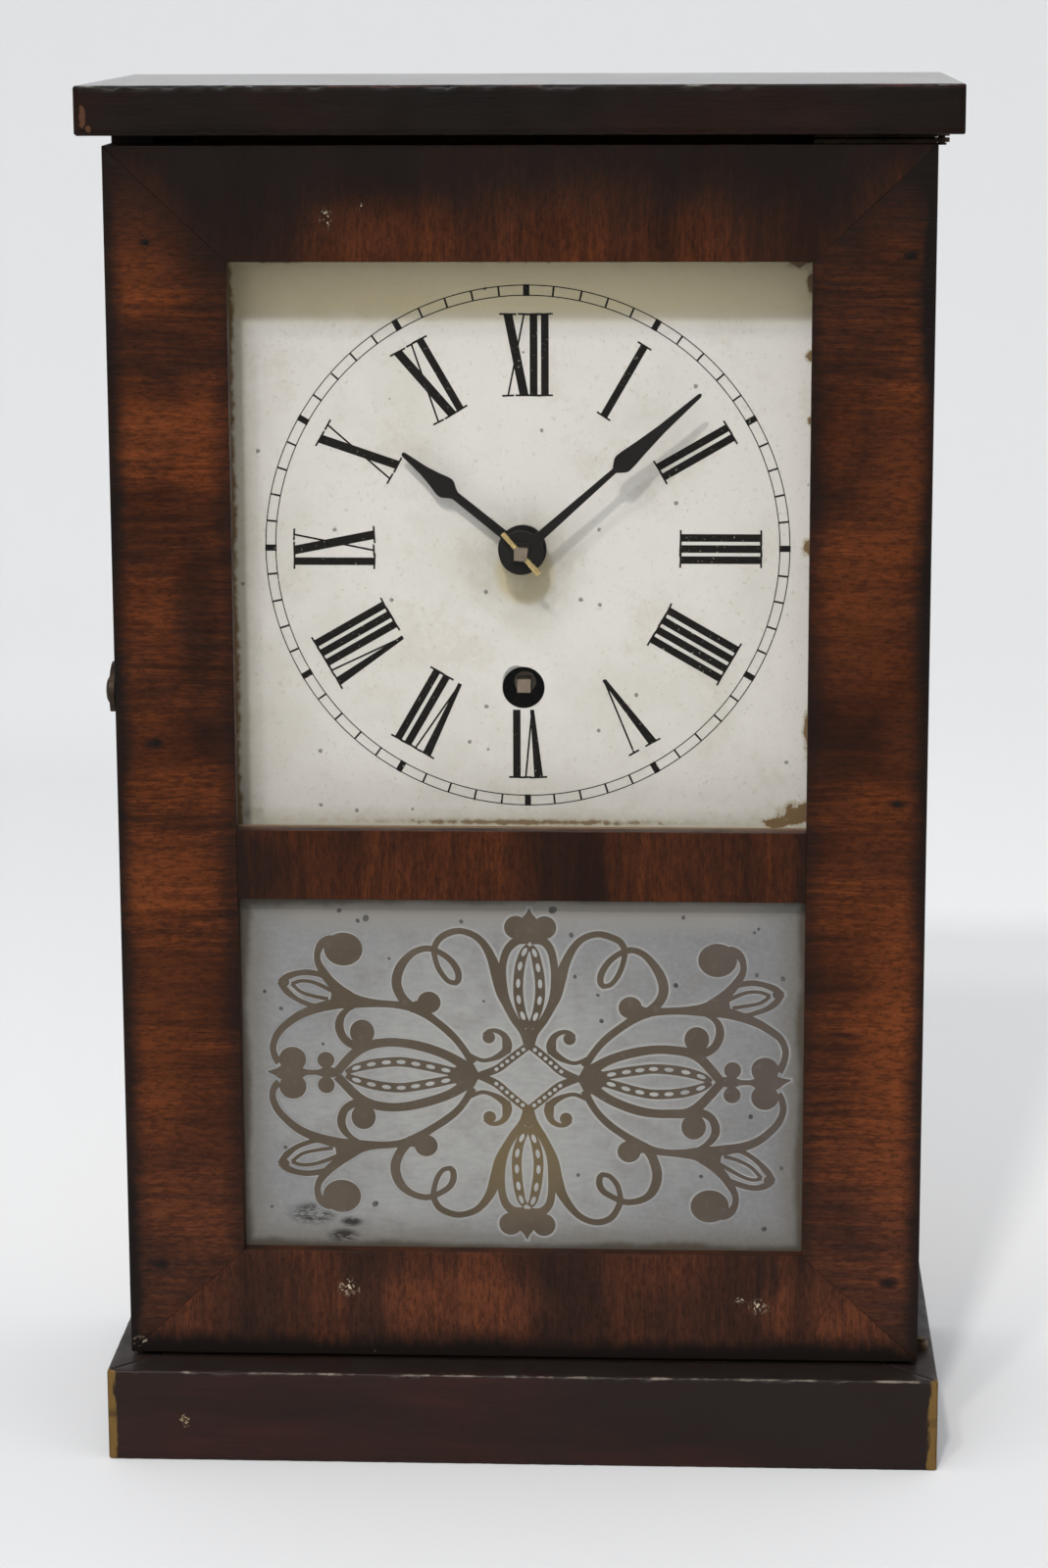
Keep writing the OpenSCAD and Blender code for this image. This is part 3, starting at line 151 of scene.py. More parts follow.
class ClockDialSettings(bpy.types.PropertyGroup):
    """Paint and figures of the dial."""
    paint: colour("Paint", "Cream paint of the dial", (0.785, 0.740, 0.700))
    figures: colour("Figures", "Black of the figures and the hands", (0.0065, 0.0050, 0.0040))
    rust: colour("Rust", "Rust and dirt round the dial's edges", (0.190, 0.105, 0.036))
    figure_low: length("Figures' feet", "Radius of the feet of the figures", 0.0338)
    figure_high: length("Figures' heads", "Radius of the heads of the figures", 0.0515)
    thick: length("Thick stroke", "Width of the thick strokes", 0.00168)
    thin: length("Thin stroke", "Width of the thin strokes and serifs", 0.00041)
    track_inner: length("Track inside", "Radius of the minute track's inner circle", 0.0556)
    track_outer: length("Track outside", "Radius of the minute track's outer circle", 0.0578)
    track_line: length("Track line", "Width of the minute track's circles", 0.00022)
    paint_build: length("Paint build", "Thickness of the painted strokes", 0.00003)


class ClockTabletSettings(bpy.types.PropertyGroup):
    """Frosting and ornament of the lower glass."""
    frost: colour("Frost", "Grey of the frosted glass at its middle", (0.335, 0.330, 0.312))
    frost_edge: colour("Frost edge", "Grey of the frosted glass at its edges", (0.192, 0.191, 0.194))
    ornament: colour("Ornament", "Brown of the scroll ornament", (0.086, 0.066, 0.046))
    halo: colour("Halo", "Pale edge round the ornament", (0.430, 0.422, 0.395))
    halo_width: length("Halo width", "Width of the pale edge", 0.00026)
    build: length("Build", "Thickness of the ornament", 0.00006)


class ClockMetalSettings(bpy.types.PropertyGroup):
    """Metals of movement, hinges and hands."""
    brass: colour("Brass", "Dull brass of the movement", (0.58, 0.41, 0.16))
    old_brass: colour("Old brass", "Brown brass of hinges and catch", (0.125, 0.082, 0.050))
    pin_brass: colour("Pin brass", "Bright brass of the taper pin", (0.74, 0.56, 0.25))
    steel: colour("Steel", "Steel of arbors and screws", (0.40, 0.39, 0.38))
    bevel: length("Bevel", "Width of the hands' softened edges", 0.00012)


class ClockStudioSettings(bpy.types.PropertyGroup):
    """Floor, lamps and camera."""
    floor: colour("Floor", "Colour of the floor", (0.86, 0.86, 0.87))
    backdrop: colour("Backdrop", "Colour of the backdrop", (0.985, 0.985, 0.99))
    key: power("Key", "Power of the key lamp", 9.2)
    window: power("Window", "Power of the weaker lamp beside it", 3.6)
    fill: power("Fill", "Power of the fill lamp", 7.2)
    world: FloatProperty(name="World", description="Strength of the room's light", default=0.80, min=0)
    front: FloatProperty(name="Front", description="Share of the room's light from behind the camera",
                         default=0.25, min=0, max=1)
    lens: FloatProperty(name="Lens", description="Focal length of the camera",
                        default=89.75, subtype="DISTANCE_CAMERA", min=1)
    camera_turn: FloatVectorProperty(
        name="Camera turn", description="Rotation of the camera", subtype="EULER",
        default=(math.radians(78.28), math.radians(0.232), math.radians(2.838)))
    camera_place: FloatVectorProperty(
        name="Camera place", description="Place of the camera", subtype="TRANSLATION", unit="LENGTH",
        default=(0.04105, -0.87498, 0.32935))
    camera_shift: FloatVectorProperty(
        name="Camera shift", description="Shift that the photo's framing needs", size=2,
        default=(0.0057, -0.0042))
    seed: IntProperty(name="Seed", description="Seed of the worn edges", default=7, min=0)


SETTINGS = {
    "clock_wood": ClockWoodSettings,
    "clock_dial": ClockDialSettings,
    "clock_tablet": ClockTabletSettings,
    "clock_metal": ClockMetalSettings,
    "clock_studio": ClockStudioSettings,
}


def settings(name):
    return getattr(bpy.context.scene, name)


def scaled(tint, share):
    return tuple(share * channel for channel in tint)


# Wiring of shader and geometry node trees

class Wires:
    """Adds nodes to a tree; every value may be a number, a colour or another node's output."""

    def __init__(self, tree):
        self.tree = tree

    def node(self, kind, **values):
        made = self.tree.nodes.new(kind)
        for name, value in values.items():
            setattr(made, name, value)
        return made

    def feed(self, socket, value):
        if isinstance(value, bpy.types.NodeSocket):
            self.tree.links.new(value, socket)
        elif socket.type == "RGBA":
            socket.default_value = (*value, 1)
        else:
            socket.default_value = value

    def math(self, operation, *values, clamp=False):
        made = self.node("ShaderNodeMath", operation=operation, use_clamp=clamp)
        for socket, value in zip(made.inputs, values):
            self.feed(socket, value)
        return made.outputs[0]

    def times(self, a, b):
        return self.math("MULTIPLY", a, b)

    def plus(self, a, b):
        return self.math("ADD", a, b)

    def minus(self, a, b, clamp=False):
        return self.math("SUBTRACT", a, b, clamp=clamp)

    def vector(self, operation, *values):
        made = self.node("ShaderNodeVectorMath", operation=operation)
        sockets = (made.inputs[0], made.inputs["Scale"]) if operation == "SCALE" else made.inputs
        for socket, value in zip(sockets, values):
            self.feed(socket, value)
        return made.outputs["Value"] if operation in ("LENGTH", "DISTANCE") else made.outputs["Vector"]

    def stretched(self, vector, scale):
        return self.vector("MULTIPLY", vector, scale)

    def split(self, vector):
        made = self.node("ShaderNodeSeparateXYZ")
        self.feed(made.inputs[0], vector)
        return made.outputs

    def join(self, x, y, z):
        made = self.node("ShaderNodeCombineXYZ")
        for socket, value in zip(made.inputs, (x, y, z)):
            self.feed(socket, value)
        return made.outputs[0]

    def noise(self, vector, scale, detail=3.0, rough=0.55, output="Fac"):
        made = self.node("ShaderNodeTexNoise")
        self.feed(made.inputs["Vector"], vector)
        self.feed(made.inputs["Scale"], scale)
        self.feed(made.inputs["Detail"], detail)
        self.feed(made.inputs["Roughness"], rough)
        return made.outputs[output]

    def step(self, value, low, high, to_low=0.0, to_high=1.0):
        """Smooth step of a value from low to high."""
        made = self.node("ShaderNodeMapRange", interpolation_type="SMOOTHSTEP", clamp=True)
        for socket, item in zip(made.inputs, (value, low, high, to_low, to_high)):
            self.feed(socket, item)
        return made.outputs[0]

    def ramp(self, value, low, high, share):
        """Smooth step from nothing to a share."""
        return self.step(value, low, high, 0, share)

    def mix(self, factor, a, b, blend="MIX"):
        made = self.node("ShaderNodeMix", data_type="RGBA", blend_type=blend, clamp_factor=True)
        colours = [socket for socket in made.inputs if socket.type == "RGBA"]
        self.feed(made.inputs[0], factor)
        self.feed(colours[0], a)
        self.feed(colours[1], b)
        return [socket for socket in made.outputs if socket.type == "RGBA"][0]

    def most(self, *values):
        result = values[0]
        for value in values[1:]:
            result = self.math("MAXIMUM", result, value)
        return result

    def least(self, *values):
        result = values[0]
        for value in values[1:]:
            result = self.math("MINIMUM", result, value)
        return result

    def box_distance(self, vector, low, high):
        """Distances from a point in a box to its six faces, the nearer of each pair, as X, Y and Z."""
        return self.vector("MINIMUM", self.vector("SUBTRACT", vector, low),
                           self.vector("SUBTRACT", high, vector))

    def group(self, tree, **values):
        made = self.node("ShaderNodeGroup", node_tree=tree)
        for name, value in values.items():
            self.feed(made.inputs[name.replace("_", " ").capitalize()], value)
        return made.outputs


def new_group(name, inputs, outputs):
    """An empty shader node group with named sockets, its wires and its two ends."""
    tree = bpy.data.node_groups.new(name, "ShaderNodeTree")
    for label, kind, default in inputs:
        socket = tree.interface.new_socket(label, in_out="INPUT", socket_type="NodeSocket" + kind)
        socket.default_value = (*default, 1) if kind == "Color" else default
    for label, kind in outputs:
        tree.interface.new_socket(label, in_out="OUTPUT", socket_type="NodeSocket" + kind)
    wires = Wires(tree)
    return tree, wires, wires.node("NodeGroupInput").outputs, wires.node("NodeGroupOutput").inputs


GROUPS = {}


def shared(build):
    """Builds a node group once and returns it each time."""
    def get():
        if build.__name__ not in GROUPS:
            GROUPS[build.__name__] = build()
        return GROUPS[build.__name__]
    return get


@shared
def grain_group():
    """Wood grain along the vector's X: figure, streaks and pores."""
    tree, w, given, out = new_group(
        "Wood grain",
        [("Vector", "Vector", (0, 0, 0)), ("Light", "Color", (0.3, 0.1, 0.03)),
         ("Dark", "Color", (0.05, 0.02, 0.01)), ("Figure", "Float", 0.5), ("Streaks", "Float", 0.5),
         ("Pores", "Float", 0.5)],
        [("Color", "Color"), ("Height", "Float")])
    place = given["Vector"]
    bend = w.noise(w.stretched(place, (22, 40, 40)), 1.0, 2.0, output="Color")
    bent = w.vector("ADD", place, w.vector("SCALE", w.vector("SUBTRACT", bend, (0.5, 0.5, 0.5)), 0.004))
    bands = w.step(w.noise(w.stretched(bent, (9, 55, 55)), 1.0, 3.0, 0.5), 0.34, 0.66)
    fine = w.step(w.noise(w.stretched(bent, (32, 640, 640)), 1.0, 3.0, 0.6), 0.32, 0.68)
    hair = w.step(w.noise(w.stretched(bent, (130, 2600, 2600)), 1.0, 2.0, 0.6), 0.40, 0.72)
    pores = w.step(w.noise(w.stretched(place, (260, 4300, 4300)), 1.0, 1.0, 0.5), 0.60, 0.70)
    figure = w.mix(w.times(bands, given["Figure"]), given["Light"], given["Dark"])
    streaked = w.mix(w.times(w.times(fine, given["Streaks"]), 0.8), figure, given["Dark"])
    haired = w.mix(w.times(w.times(hair, given["Streaks"]), 0.45), streaked, given["Dark"])
    w.feed(out["Color"], w.mix(w.times(pores, given["Pores"]), haired, (0.006, 0.003, 0.002)))
    lines = w.plus(w.times(fine, 0.35), w.times(hair, 0.3))
    w.feed(out["Height"], w.minus(1.0, w.plus(lines, w.times(pores, given["Pores"]))))
    return tree


@shared
def arris_group():
    """Mask of a box's edges: one within the width of an arris, broken up by noise."""
    tree, w, given, out = new_group(
        "Arris wear and highlight",
        [("Vector", "Vector", (0, 0, 0)), ("Low", "Vector", (0, 0, 0)), ("High", "Vector", (1, 1, 1)),
         ("Width", "Float", 0.001), ("Breaks", "Float", 0.5)],
        [("Mask", "Float")])
    near = w.split(w.box_distance(given["Vector"], given["Low"], given["High"]))
    lowest = w.least(near[0], near[1], near[2])
    highest = w.most(near[0], near[1], near[2])
    total = w.plus(w.plus(near[0], near[1]), near[2])
    distance = w.minus(w.minus(total, lowest), highest)
    rough = w.noise(given["Vector"], 260.0, 4.0, 0.65)
    reach = w.times(given["Width"], w.times(rough, 2.0))
    edge = w.step(w.math("DIVIDE", distance, reach), 1.0, 0.45)
    holes = w.step(w.noise(given["Vector"], 95.0, 3.0, 0.6), given["Breaks"], w.plus(given["Breaks"], 0.12))
    w.feed(out["Mask"], w.times(edge, holes))
    return tree


@shared
def specks_group():
    """Small chips and specks: a mask of round spots of uneven size."""
    tree, w, given, out = new_group(
        "Specks",
        [("Vector", "Vector", (0, 0, 0)), ("Scale", "Float", 100.0), ("Size", "Float", 0.1),
         ("Amount", "Float", 0.5)],
        [("Mask", "Float")])
    cells = w.node("ShaderNodeTexVoronoi")
    w.feed(cells.inputs["Vector"], given["Vector"])
    w.feed(cells.inputs["Scale"], given["Scale"])
    pick = w.split(cells.outputs["Color"])
    kept = w.math("LESS_THAN", pick[0], given["Amount"])
    ragged = w.noise(given["Vector"], w.times(given["Scale"], 6.0), 2.0)
    reach = w.times(w.times(given["Size"], pick[1]), w.plus(ragged, 0.5))
    w.feed(out["Mask"], w.times(kept, w.step(cells.outputs["Distance"], reach, w.times(reach, 0.6))))
    return tree


@shared
def grime_group():
    """Cloudy dirt in patches, with a finer scatter on top."""
    tree, w, given, out = new_group(
        "Grime",
        [("Vector", "Vector", (0, 0, 0)), ("Scale", "Float", 30.0), ("Amount", "Float", 0.5)],
        [("Mask", "Float")])
    cloud = w.noise(given["Vector"], given["Scale"], 5.0, 0.62)
    fine = w.noise(given["Vector"], w.times(given["Scale"], 14.0), 3.0, 0.6)
    both = w.plus(w.times(cloud, 0.78), w.times(fine, 0.22))
    low = w.minus(0.72, w.times(given["Amount"], 0.4))
    w.feed(out["Mask"], w.step(both, low, w.plus(low, 0.16)))
    return tree


# Materials

class Finish:
    """A material with its Principled shader, the piece's own coordinates and helpers."""

    def __init__(self, name, coat_rough=0.1, specular=0.5, metallic=0, transmission=0, ior=1.5):
        self.material = bpy.data.materials.new(name)
        self.material.use_nodes = True
        tree = self.material.node_tree
        self.w = Wires(tree)
        self.shader = next(node for node in tree.nodes if node.type == "BSDF_PRINCIPLED")
        self.place = self.w.node("ShaderNodeTexCoord").outputs["Object"]
        values = {"Coat Roughness": coat_rough, "Specular IOR Level": specular, "Metallic": metallic,
                  "Transmission Weight": transmission, "IOR": ior}
        for socket, value in values.items():
            self.shader.inputs[socket].default_value = value

    def paint(self, ground, *layers):
        """Base colour: a ground with layers of (mask, colour) over it, the lowest first."""
        for mask, tint in layers:
            ground = self.w.mix(mask, ground, tint)
        self.ground = ground
        self.w.feed(self.shader.inputs["Base Color"], ground)

    def rough(self, value):
        self.w.feed(self.shader.inputs["Roughness"], value)

    def done(self, rough, height, distance, strength):
        """Sets roughness and bump and hands over the material."""
        self.rough(rough)
        made = self.w.node("ShaderNodeBump")
        self.w.feed(made.inputs["Height"], height)
        made.inputs["Distance"].default_value = distance
        made.inputs["Strength"].default_value = strength
        self.w.feed(self.shader.inputs["Normal"], made.outputs["Normal"])
        return self.material

    def let_through(self, rays, tint):
        """Lets the rays that a mask picks pass straight through, tinted."""
        clear = self.w.node("ShaderNodeBsdfTransparent")
        self.w.feed(clear.inputs["Color"], tint)
        both = self.w.node("ShaderNodeMixShader")
        for socket, value in zip(both.inputs, (rays, self.shader.outputs[0], clear.outputs[0])):
            self.w.feed(socket, value)
        output = next(node for node in self.w.tree.nodes if node.type == "OUTPUT_MATERIAL")
        self.w.feed(output.inputs["Surface"], both.outputs[0])

    def noise(self, *values):
        return self.w.noise(self.place, *values)

    def streaks(self, scale, *values):
        """Noise with a scale of its own along each axis."""
        return self.w.noise(self.w.stretched(self.place, scale), 1, *values)

    def away(self, point):
        return self.w.vector("DISTANCE", self.place, point)

    def grime(self, scale, amount):
        return self.w.group(grime_group(), vector=self.place, scale=scale, amount=amount)["Mask"]

    def specks(self, scale, size, amount):
        return self.w.group(specks_group(), vector=self.place, scale=scale, size=size,
                            amount=amount)["Mask"]

    def grain(self, vector, light, dark, figure, streaks, pores):
        return self.w.group(grain_group(), vector=vector, light=light, dark=dark, figure=figure,
                            streaks=streaks, pores=pores)

    def along(self, axis):
        """Coordinates turned so that the grain, which follows their X, runs along an axis of the piece."""
        x, y, z = self.w.split(self.place)
        return {"X": self.place, "Y": self.w.join(y, x, z), "Z": self.w.join(z, x, y)}[axis]


# Tables of patches on a face, in millimetres: (x, z, half width, half height, share)
# Where the door's polish has gone thin
THIN_POLISH = (
    (-84, 132, 15, 13, 0.9), (-84, 232, 16, 12, 0.6), (-80, 192, 14, 10, 0.45), (-70, 230, 9, 14, 0.5),
    (-84, 82, 12, 24, 0.5), (-82, 270, 12, 18, 0.55), (-82, 160, 12, 14, 0.4), (84, 100, 12, 36, 1.0),
    (84, 62, 10, 20, 0.6), (84, 224, 14, 22, 0.65), (74, 192, 14, 24, 0.5), (78, 130, 16, 34, 0.30),
    (86, 165, 10, 16, 0.35), (-28, 274, 18, 10, 0.50), (14, 277, 22, 11, 0.16), (40, 275, 12, 9, 0.12),
    (-15, 35, 30, 8, 0.2), (66, 34, 16, 8, 0.3), (80, 275, 9, 14, 0.22), (-72, 72, 16, 26, 0.2),
    (-78, 110, 16, 14, 0.4), (70, 229, 8, 11, 0.4), (86, 48, 8, 10, 0.4),
)
# Where it has gone black
BLACK_POLISH = (
    (-70, 190, 7, 22, 0.75), (-66, 262, 8, 14, 0.5), (-58, 136, 10, 10, 0.5), (68, 40, 11, 11, 0.4),
    (68, 154, 7, 14, 0.35), (-69, 40, 8, 9, 0.3), (30, 33, 14, 9, 0.35), (-90, 208, 6, 10, 0.3),
)
# Small flaked spots of the veneer
FLAKES = (
    (-39, 38, 2.4, 2.0, 1.0), (53, 34.5, 2.2, 1.8, 1.0), (49, 36, 1.2, 0.8, 0.8),
    (-41, 277, 1.4, 2.6, 0.7), (-34, 279.5, 0.8, 0.8, 1.0), (-86.6, 24.6, 1.8, 1.2, 0.6),
)
# Brads of the door: (x, height above the door's foot), in millimetres
BRADS = ((-79.8, 249.9), (83.2, 247.0), (-80.0, 140.8), (82.3, 128.1), (-81.9, 20.9), (81.9, 18.5))
# Chips of the cornice's left end and of the plinth's front
CORNICE_CHIPS = ((-92.2, 298.5, 0.9, 2.8, 1.0), (-91.0, 296.0, 0.8, 1.0, 0.9))
PLINTH_CHIPS = ((-75.5, 9.5, 1.5, 1.8, 1.0),)
# Torn blots of the frost: (x, z, reach), in millimetres from the tablet's centre
FROST_BLOTS = ((-47.3, -33.0, 7.0), (-38.6, -34.8, 3.4), (-40.4, -38.1, 4.6))
# Rust and dirt at the dial's edges
DIAL_DIRT = (
    (62.9, 246, 1.4, 1.7, 1.0), (62.8, 204, 1.6, 2.4, 1.0), (62.9, 232, 0.9, 1.2, 1.0),
    (63.0, 163, 1.2, 7.0, 0.8), (61.5, 144, 5.2, 3.4, 1.0), (57.0, 142, 5.0, 1.8, 1.0),
    (-62.0, 143.5, 4.0, 2.6, 0.5), (60.5, 267.0, 4.0, 2.4, 0.9), (62.8, 262, 1.3, 3.0, 1.0),
    (48.0, 266.9, 6.0, 0.8, 0.8), (-54.0, 266.9, 9.0, 0.9, 0.75), (5.0, 267.0, 34.0, 0.9, 0.7),
    (-63.4, 250, 1.4, 9.0, 0.45), (-63.6, 190, 1.2, 20.0, 0.4), (0.0, 141.9, 60.0, 1.2, 0.58),
)


def blobs(finish, spots, rough):
    """Mask of the patches in a table, frayed by a noise."""
    w = finish.w
    x, _, z = w.split(finish.place)
    frayed = w.times(w.minus(rough, 0.5), 1.5)
    total = 0.0
    for sx, sz, rx, rz, share in spots:
        across = w.times(w.minus(x, sx * MM), 1 / (rx * MM))
        up = w.times(w.minus(z, sz * MM), 1 / (rz * MM))
        away = w.plus(w.vector("LENGTH", w.join(across, up, 0.0)), frayed)
        total = w.most(total, w.ramp(away, 1.25, 0.15, share))
    return total


def door_patina_and_shade(finish, streaks):
    """Masks of the polish on the door's face: where it is black, with the cornice's painted shade over the
    door's head, and where it has gone thin.
    """
    w = finish.w
    x, _, z = w.split(finish.place)
    cloud = w.plus(w.times(finish.noise(34.0, 5.0, 0.65), 0.60), w.times(streaks, 0.40))
    fine = finish.noise(160.0, 3.0, 0.6)
    shift = w.plus(w.times(w.minus(cloud, 0.5), 0.022), w.times(w.minus(fine, 0.5), 0.005))
    side = w.plus(w.minus(CASE_HALF, w.math("ABSOLUTE", x)), w.times(shift, 0.35))
    top = w.plus(w.minus(DOOR_HIGH.z, z), w.times(shift, 1.6))
    foot = w.plus(w.minus(z, DOOR_LOW.z), w.times(shift, 0.5))
    inner = w.plus(w.math("ABSOLUTE", w.minus(w.math("ABSOLUTE", x), OPENING_HALF)), w.times(shift, 0.4))
    edges = w.most(w.step(side, 0.0052, 0.0004), w.step(foot, 0.008, 0.001),
                   w.ramp(inner, 0.0055, 0, 0.62))
    thin = blobs(finish, THIN_POLISH, cloud)
    # The door's head darkened to the patina's black: painted shade of the cornice's overhang
    cornice_shade = w.minus(w.ramp(top, 0.040, 0.006, 0.88), w.times(thin, 0.50), clamp=True)
    clouds = w.minus(w.step(cloud, 0.42, 0.66, 0.06, 0.48), thin, clamp=True)
    dents = [(x, z + DOOR_LOW.z / MM, 2.7, 1.6, 1.0) for x, z in BRADS]
    return w.most(edges, cornice_shade, clouds, blobs(finish, BLACK_POLISH, cloud),
                  blobs(finish, dents, fine)), thin


def veneer_finish(name, axis, warmth, offset, streaks=0.85):
    """Mahogany veneer, grained along an axis; warmth is how red the polish stayed at foot and head."""
    wood = settings("clock_wood")
    finish = Finish(name, specular=0.09)
    w = finish.w
    shifted = w.vector("ADD", finish.along(axis), offset)
    grain = finish.grain(shifted, wood.veneer_light, wood.veneer_dark, 0.90, streaks, 0.5)
    combed = w.noise(w.stretched(shifted, (70, 520, 520)), 1, 4, 0.65)
    # The black mask holds old polish and the cornice's painted shade
    patina, thin = door_patina_and_shade(finish, combed)
    z = w.split(finish.place)[2]
    faded = w.step(z, DOOR_LOW.z, DOOR_HIGH.z, 1 - warmth[0], 1 - warmth[1])
    dark = w.math("ADD", w.times(patina, 0.93), w.minus(faded, thin, clamp=True), clamp=True)
    haze = w.ramp(z, DOOR_LOW.z + 0.075, DOOR_LOW.z, 0.16)
    curled = w.noise(w.stretched(shifted, (560, 1600, 1600)), 1, 4, 0.7)
    flaking = w.step(finish.noise(1500, 3, 0.6), 0.54, 0.60)
    finish.paint(
        grain["Color"],
        (w.times(thin, 0.55), scaled(wood.veneer_light, 1.35)),
        (haze, (0.075, 0.055, 0.050)),
        (w.ramp(curled, 0.40, 0.66, 0.62), wood.veneer_dark),
        (dark, wood.patina),
        (w.times(finish.specks(150, 0.10, 0.055), 0.75), wood.bare),
        (w.times(blobs(finish, FLAKES, finish.noise(700)), flaking), (0.50, 0.42, 0.30)))
    return finish.done(w.step(finish.noise(60, 4), 0.3, 0.7, 0.34, 0.52), grain["Height"], 0.00006, 0.55)


def board_finish(name, axis, low, high, worn, width, specular=0.1):
    """Stained board, nearly black, with reddish clouds and pale edges of rubbed wood and painted highlight.
    """
    wood = settings("clock_wood")
    finish = Finish(name, coat_rough=0.12, specular=specular)
    w = finish.w
    red = (wood.board[0] * 2.6, wood.board[1] * 1.25, wood.board[2])
    grain = finish.grain(finish.along(axis), red, wood.patina, 0.8, 0.45, 0.35)
    cloud = w.step(finish.noise(22, 4, 0.6), 0.36, 0.66)
    edge = w.group(arris_group(), vector=finish.place, low=low, high=high, width=width, breaks=worn)
    # Pale edges: rubbed bare wood, and a painted highlight in the grey-white
    pale = w.mix(finish.noise(900, 2), wood.bare, (0.56, 0.52, 0.47))
    finish.paint(
        grain["Color"],
        (w.times(cloud, 0.75), wood.board),
        (w.times(edge["Mask"], 0.85), pale),
        (w.times(finish.specks(120, 0.12, 0.05), 0.8), wood.bare))
    finish.done(w.step(finish.noise(70, 4), 0.3, 0.7, 0.3, 0.5), grain["Height"], 0.00005, 0.5)
    return finish


def plain_board(name, axis, node):
    return board_finish(name, axis, *span(node), 0.6, 0.0006).material


def cornice_finish():
    """Cornice: dark front with two chips near its left end, and a scratched, glossy reddish top."""
    # The box reaches past every edge but the top front one, which alone takes the rubbed wood and painted
    # highlight
    low, high = CORNICE_LOW - Vector((1, 0, 1)), CORNICE_HIGH + Vector((1, 1, 0))
    finish = board_finish("Cornice", "X", low, high, 0.55, 0.0004)
    w = finish.w
    z = w.split(finish.place)[2]
    scratches = w.step(finish.streaks((120, 900, 300), 3, 0.7), 0.56, 0.66)
    top = w.step(z, high.z - 0.0009, high.z - 0.0003)
    finish.paint(
        w.mix(1, finish.ground, (0.50, 0.67, 0.64), "MULTIPLY"),
        (w.step(blobs(finish, CORNICE_CHIPS, finish.noise(700)), 0.35, 0.50), (0.080, 0.036, 0.019)),
        (w.times(top, w.times(finish.grime(35, 0.62), 0.8)),
         w.mix(scratches, (0.070, 0.024, 0.020), (0.24, 0.16, 0.13))))
    w.feed(finish.shader.inputs["Coat Weight"], w.ramp(z, high.z - 0.0003, high.z - 0.0001, 0.75))
    return finish.material


def plinth_finish():
    """Plinth: dark brown front with a chip, dusty top and ochre patches at its two front corners."""
    # The box reaches past every edge but the top front one, which alone takes the rubbed wood and painted
    # highlight
    low, high = Vector((PLINTH_LOW.x - 1, PLINTH_LOW.y, -1)), Vector((PLINTH_HIGH.x + 1, 1, PLINTH_HIGH.z))
    finish = board_finish("Plinth", "X", low, high, 0.50, 0.0005, 0.16)
    w = finish.w
    x, y, z = w.split(finish.place)
    dust = w.times(w.step(z, high.z - 0.0008, high.z - 0.0002),
                   w.step(finish.noise(90, 4), 0.25, 0.7, 0.25, 0.75))
    chips = w.step(blobs(finish, PLINTH_CHIPS, finish.noise(900, 3, 0.7)), 0.40, 0.52)
    ragged = w.times(finish.streaks((500, 500, 150), 4, 0.65), 0.0038)
    corner = w.plus(w.minus(PLINTH_HIGH.x, w.math("ABSOLUTE", x)), w.minus(y, low.y))
    broken = w.step(finish.streaks((1, 1, 130), 2), 0.30, 0.42)
    finish.paint(
        finish.ground,
        (dust, (0.022, 0.018, 0.016)),
        (w.times(chips, w.step(finish.noise(1500, 3, 0.6), 0.50, 0.56)), (0.30, 0.22, 0.13)),
        (w.times(w.step(w.minus(corner, ragged), 0.0004, -0.0004), broken), (0.150, 0.085, 0.022)))
    return finish.material


def pine_finish(name, share):
    """Bare softwood, browned by age; share is how much of its colour is left."""
    pine = settings("clock_wood").pine
    finish = Finish(name, specular=0.25)
    grain = finish.grain(finish.along("Z"), scaled(pine, share), scaled(pine, 0.45 * share), 0.6, 0.5, 0.1)
    dirt = finish.w.times(finish.grime(24, 0.45), 0.55)
    finish.paint(grain["Color"], (dirt, scaled((0.10, 0.062, 0.035), share)))
    return finish.done(0.72, grain["Height"], 0.00012, 0.6)


def core_finish():
    """Mahogany core of the door, behind the veneer."""
    wood = settings("clock_wood")
    finish = Finish("Door core", specular=0.3)
    w = finish.w
    grain = finish.grain(finish.along("Z"), scaled(wood.veneer_light, 0.5), wood.patina, 0.7, 0.5, 0.4)
    finish.paint(grain["Color"], (w.times(finish.grime(40, 0.5), 0.6), wood.patina))
    return finish.done(w.step(finish.noise(80), 0.3, 0.7, 0.45, 0.65), grain["Height"], 0.00008, 0.6)


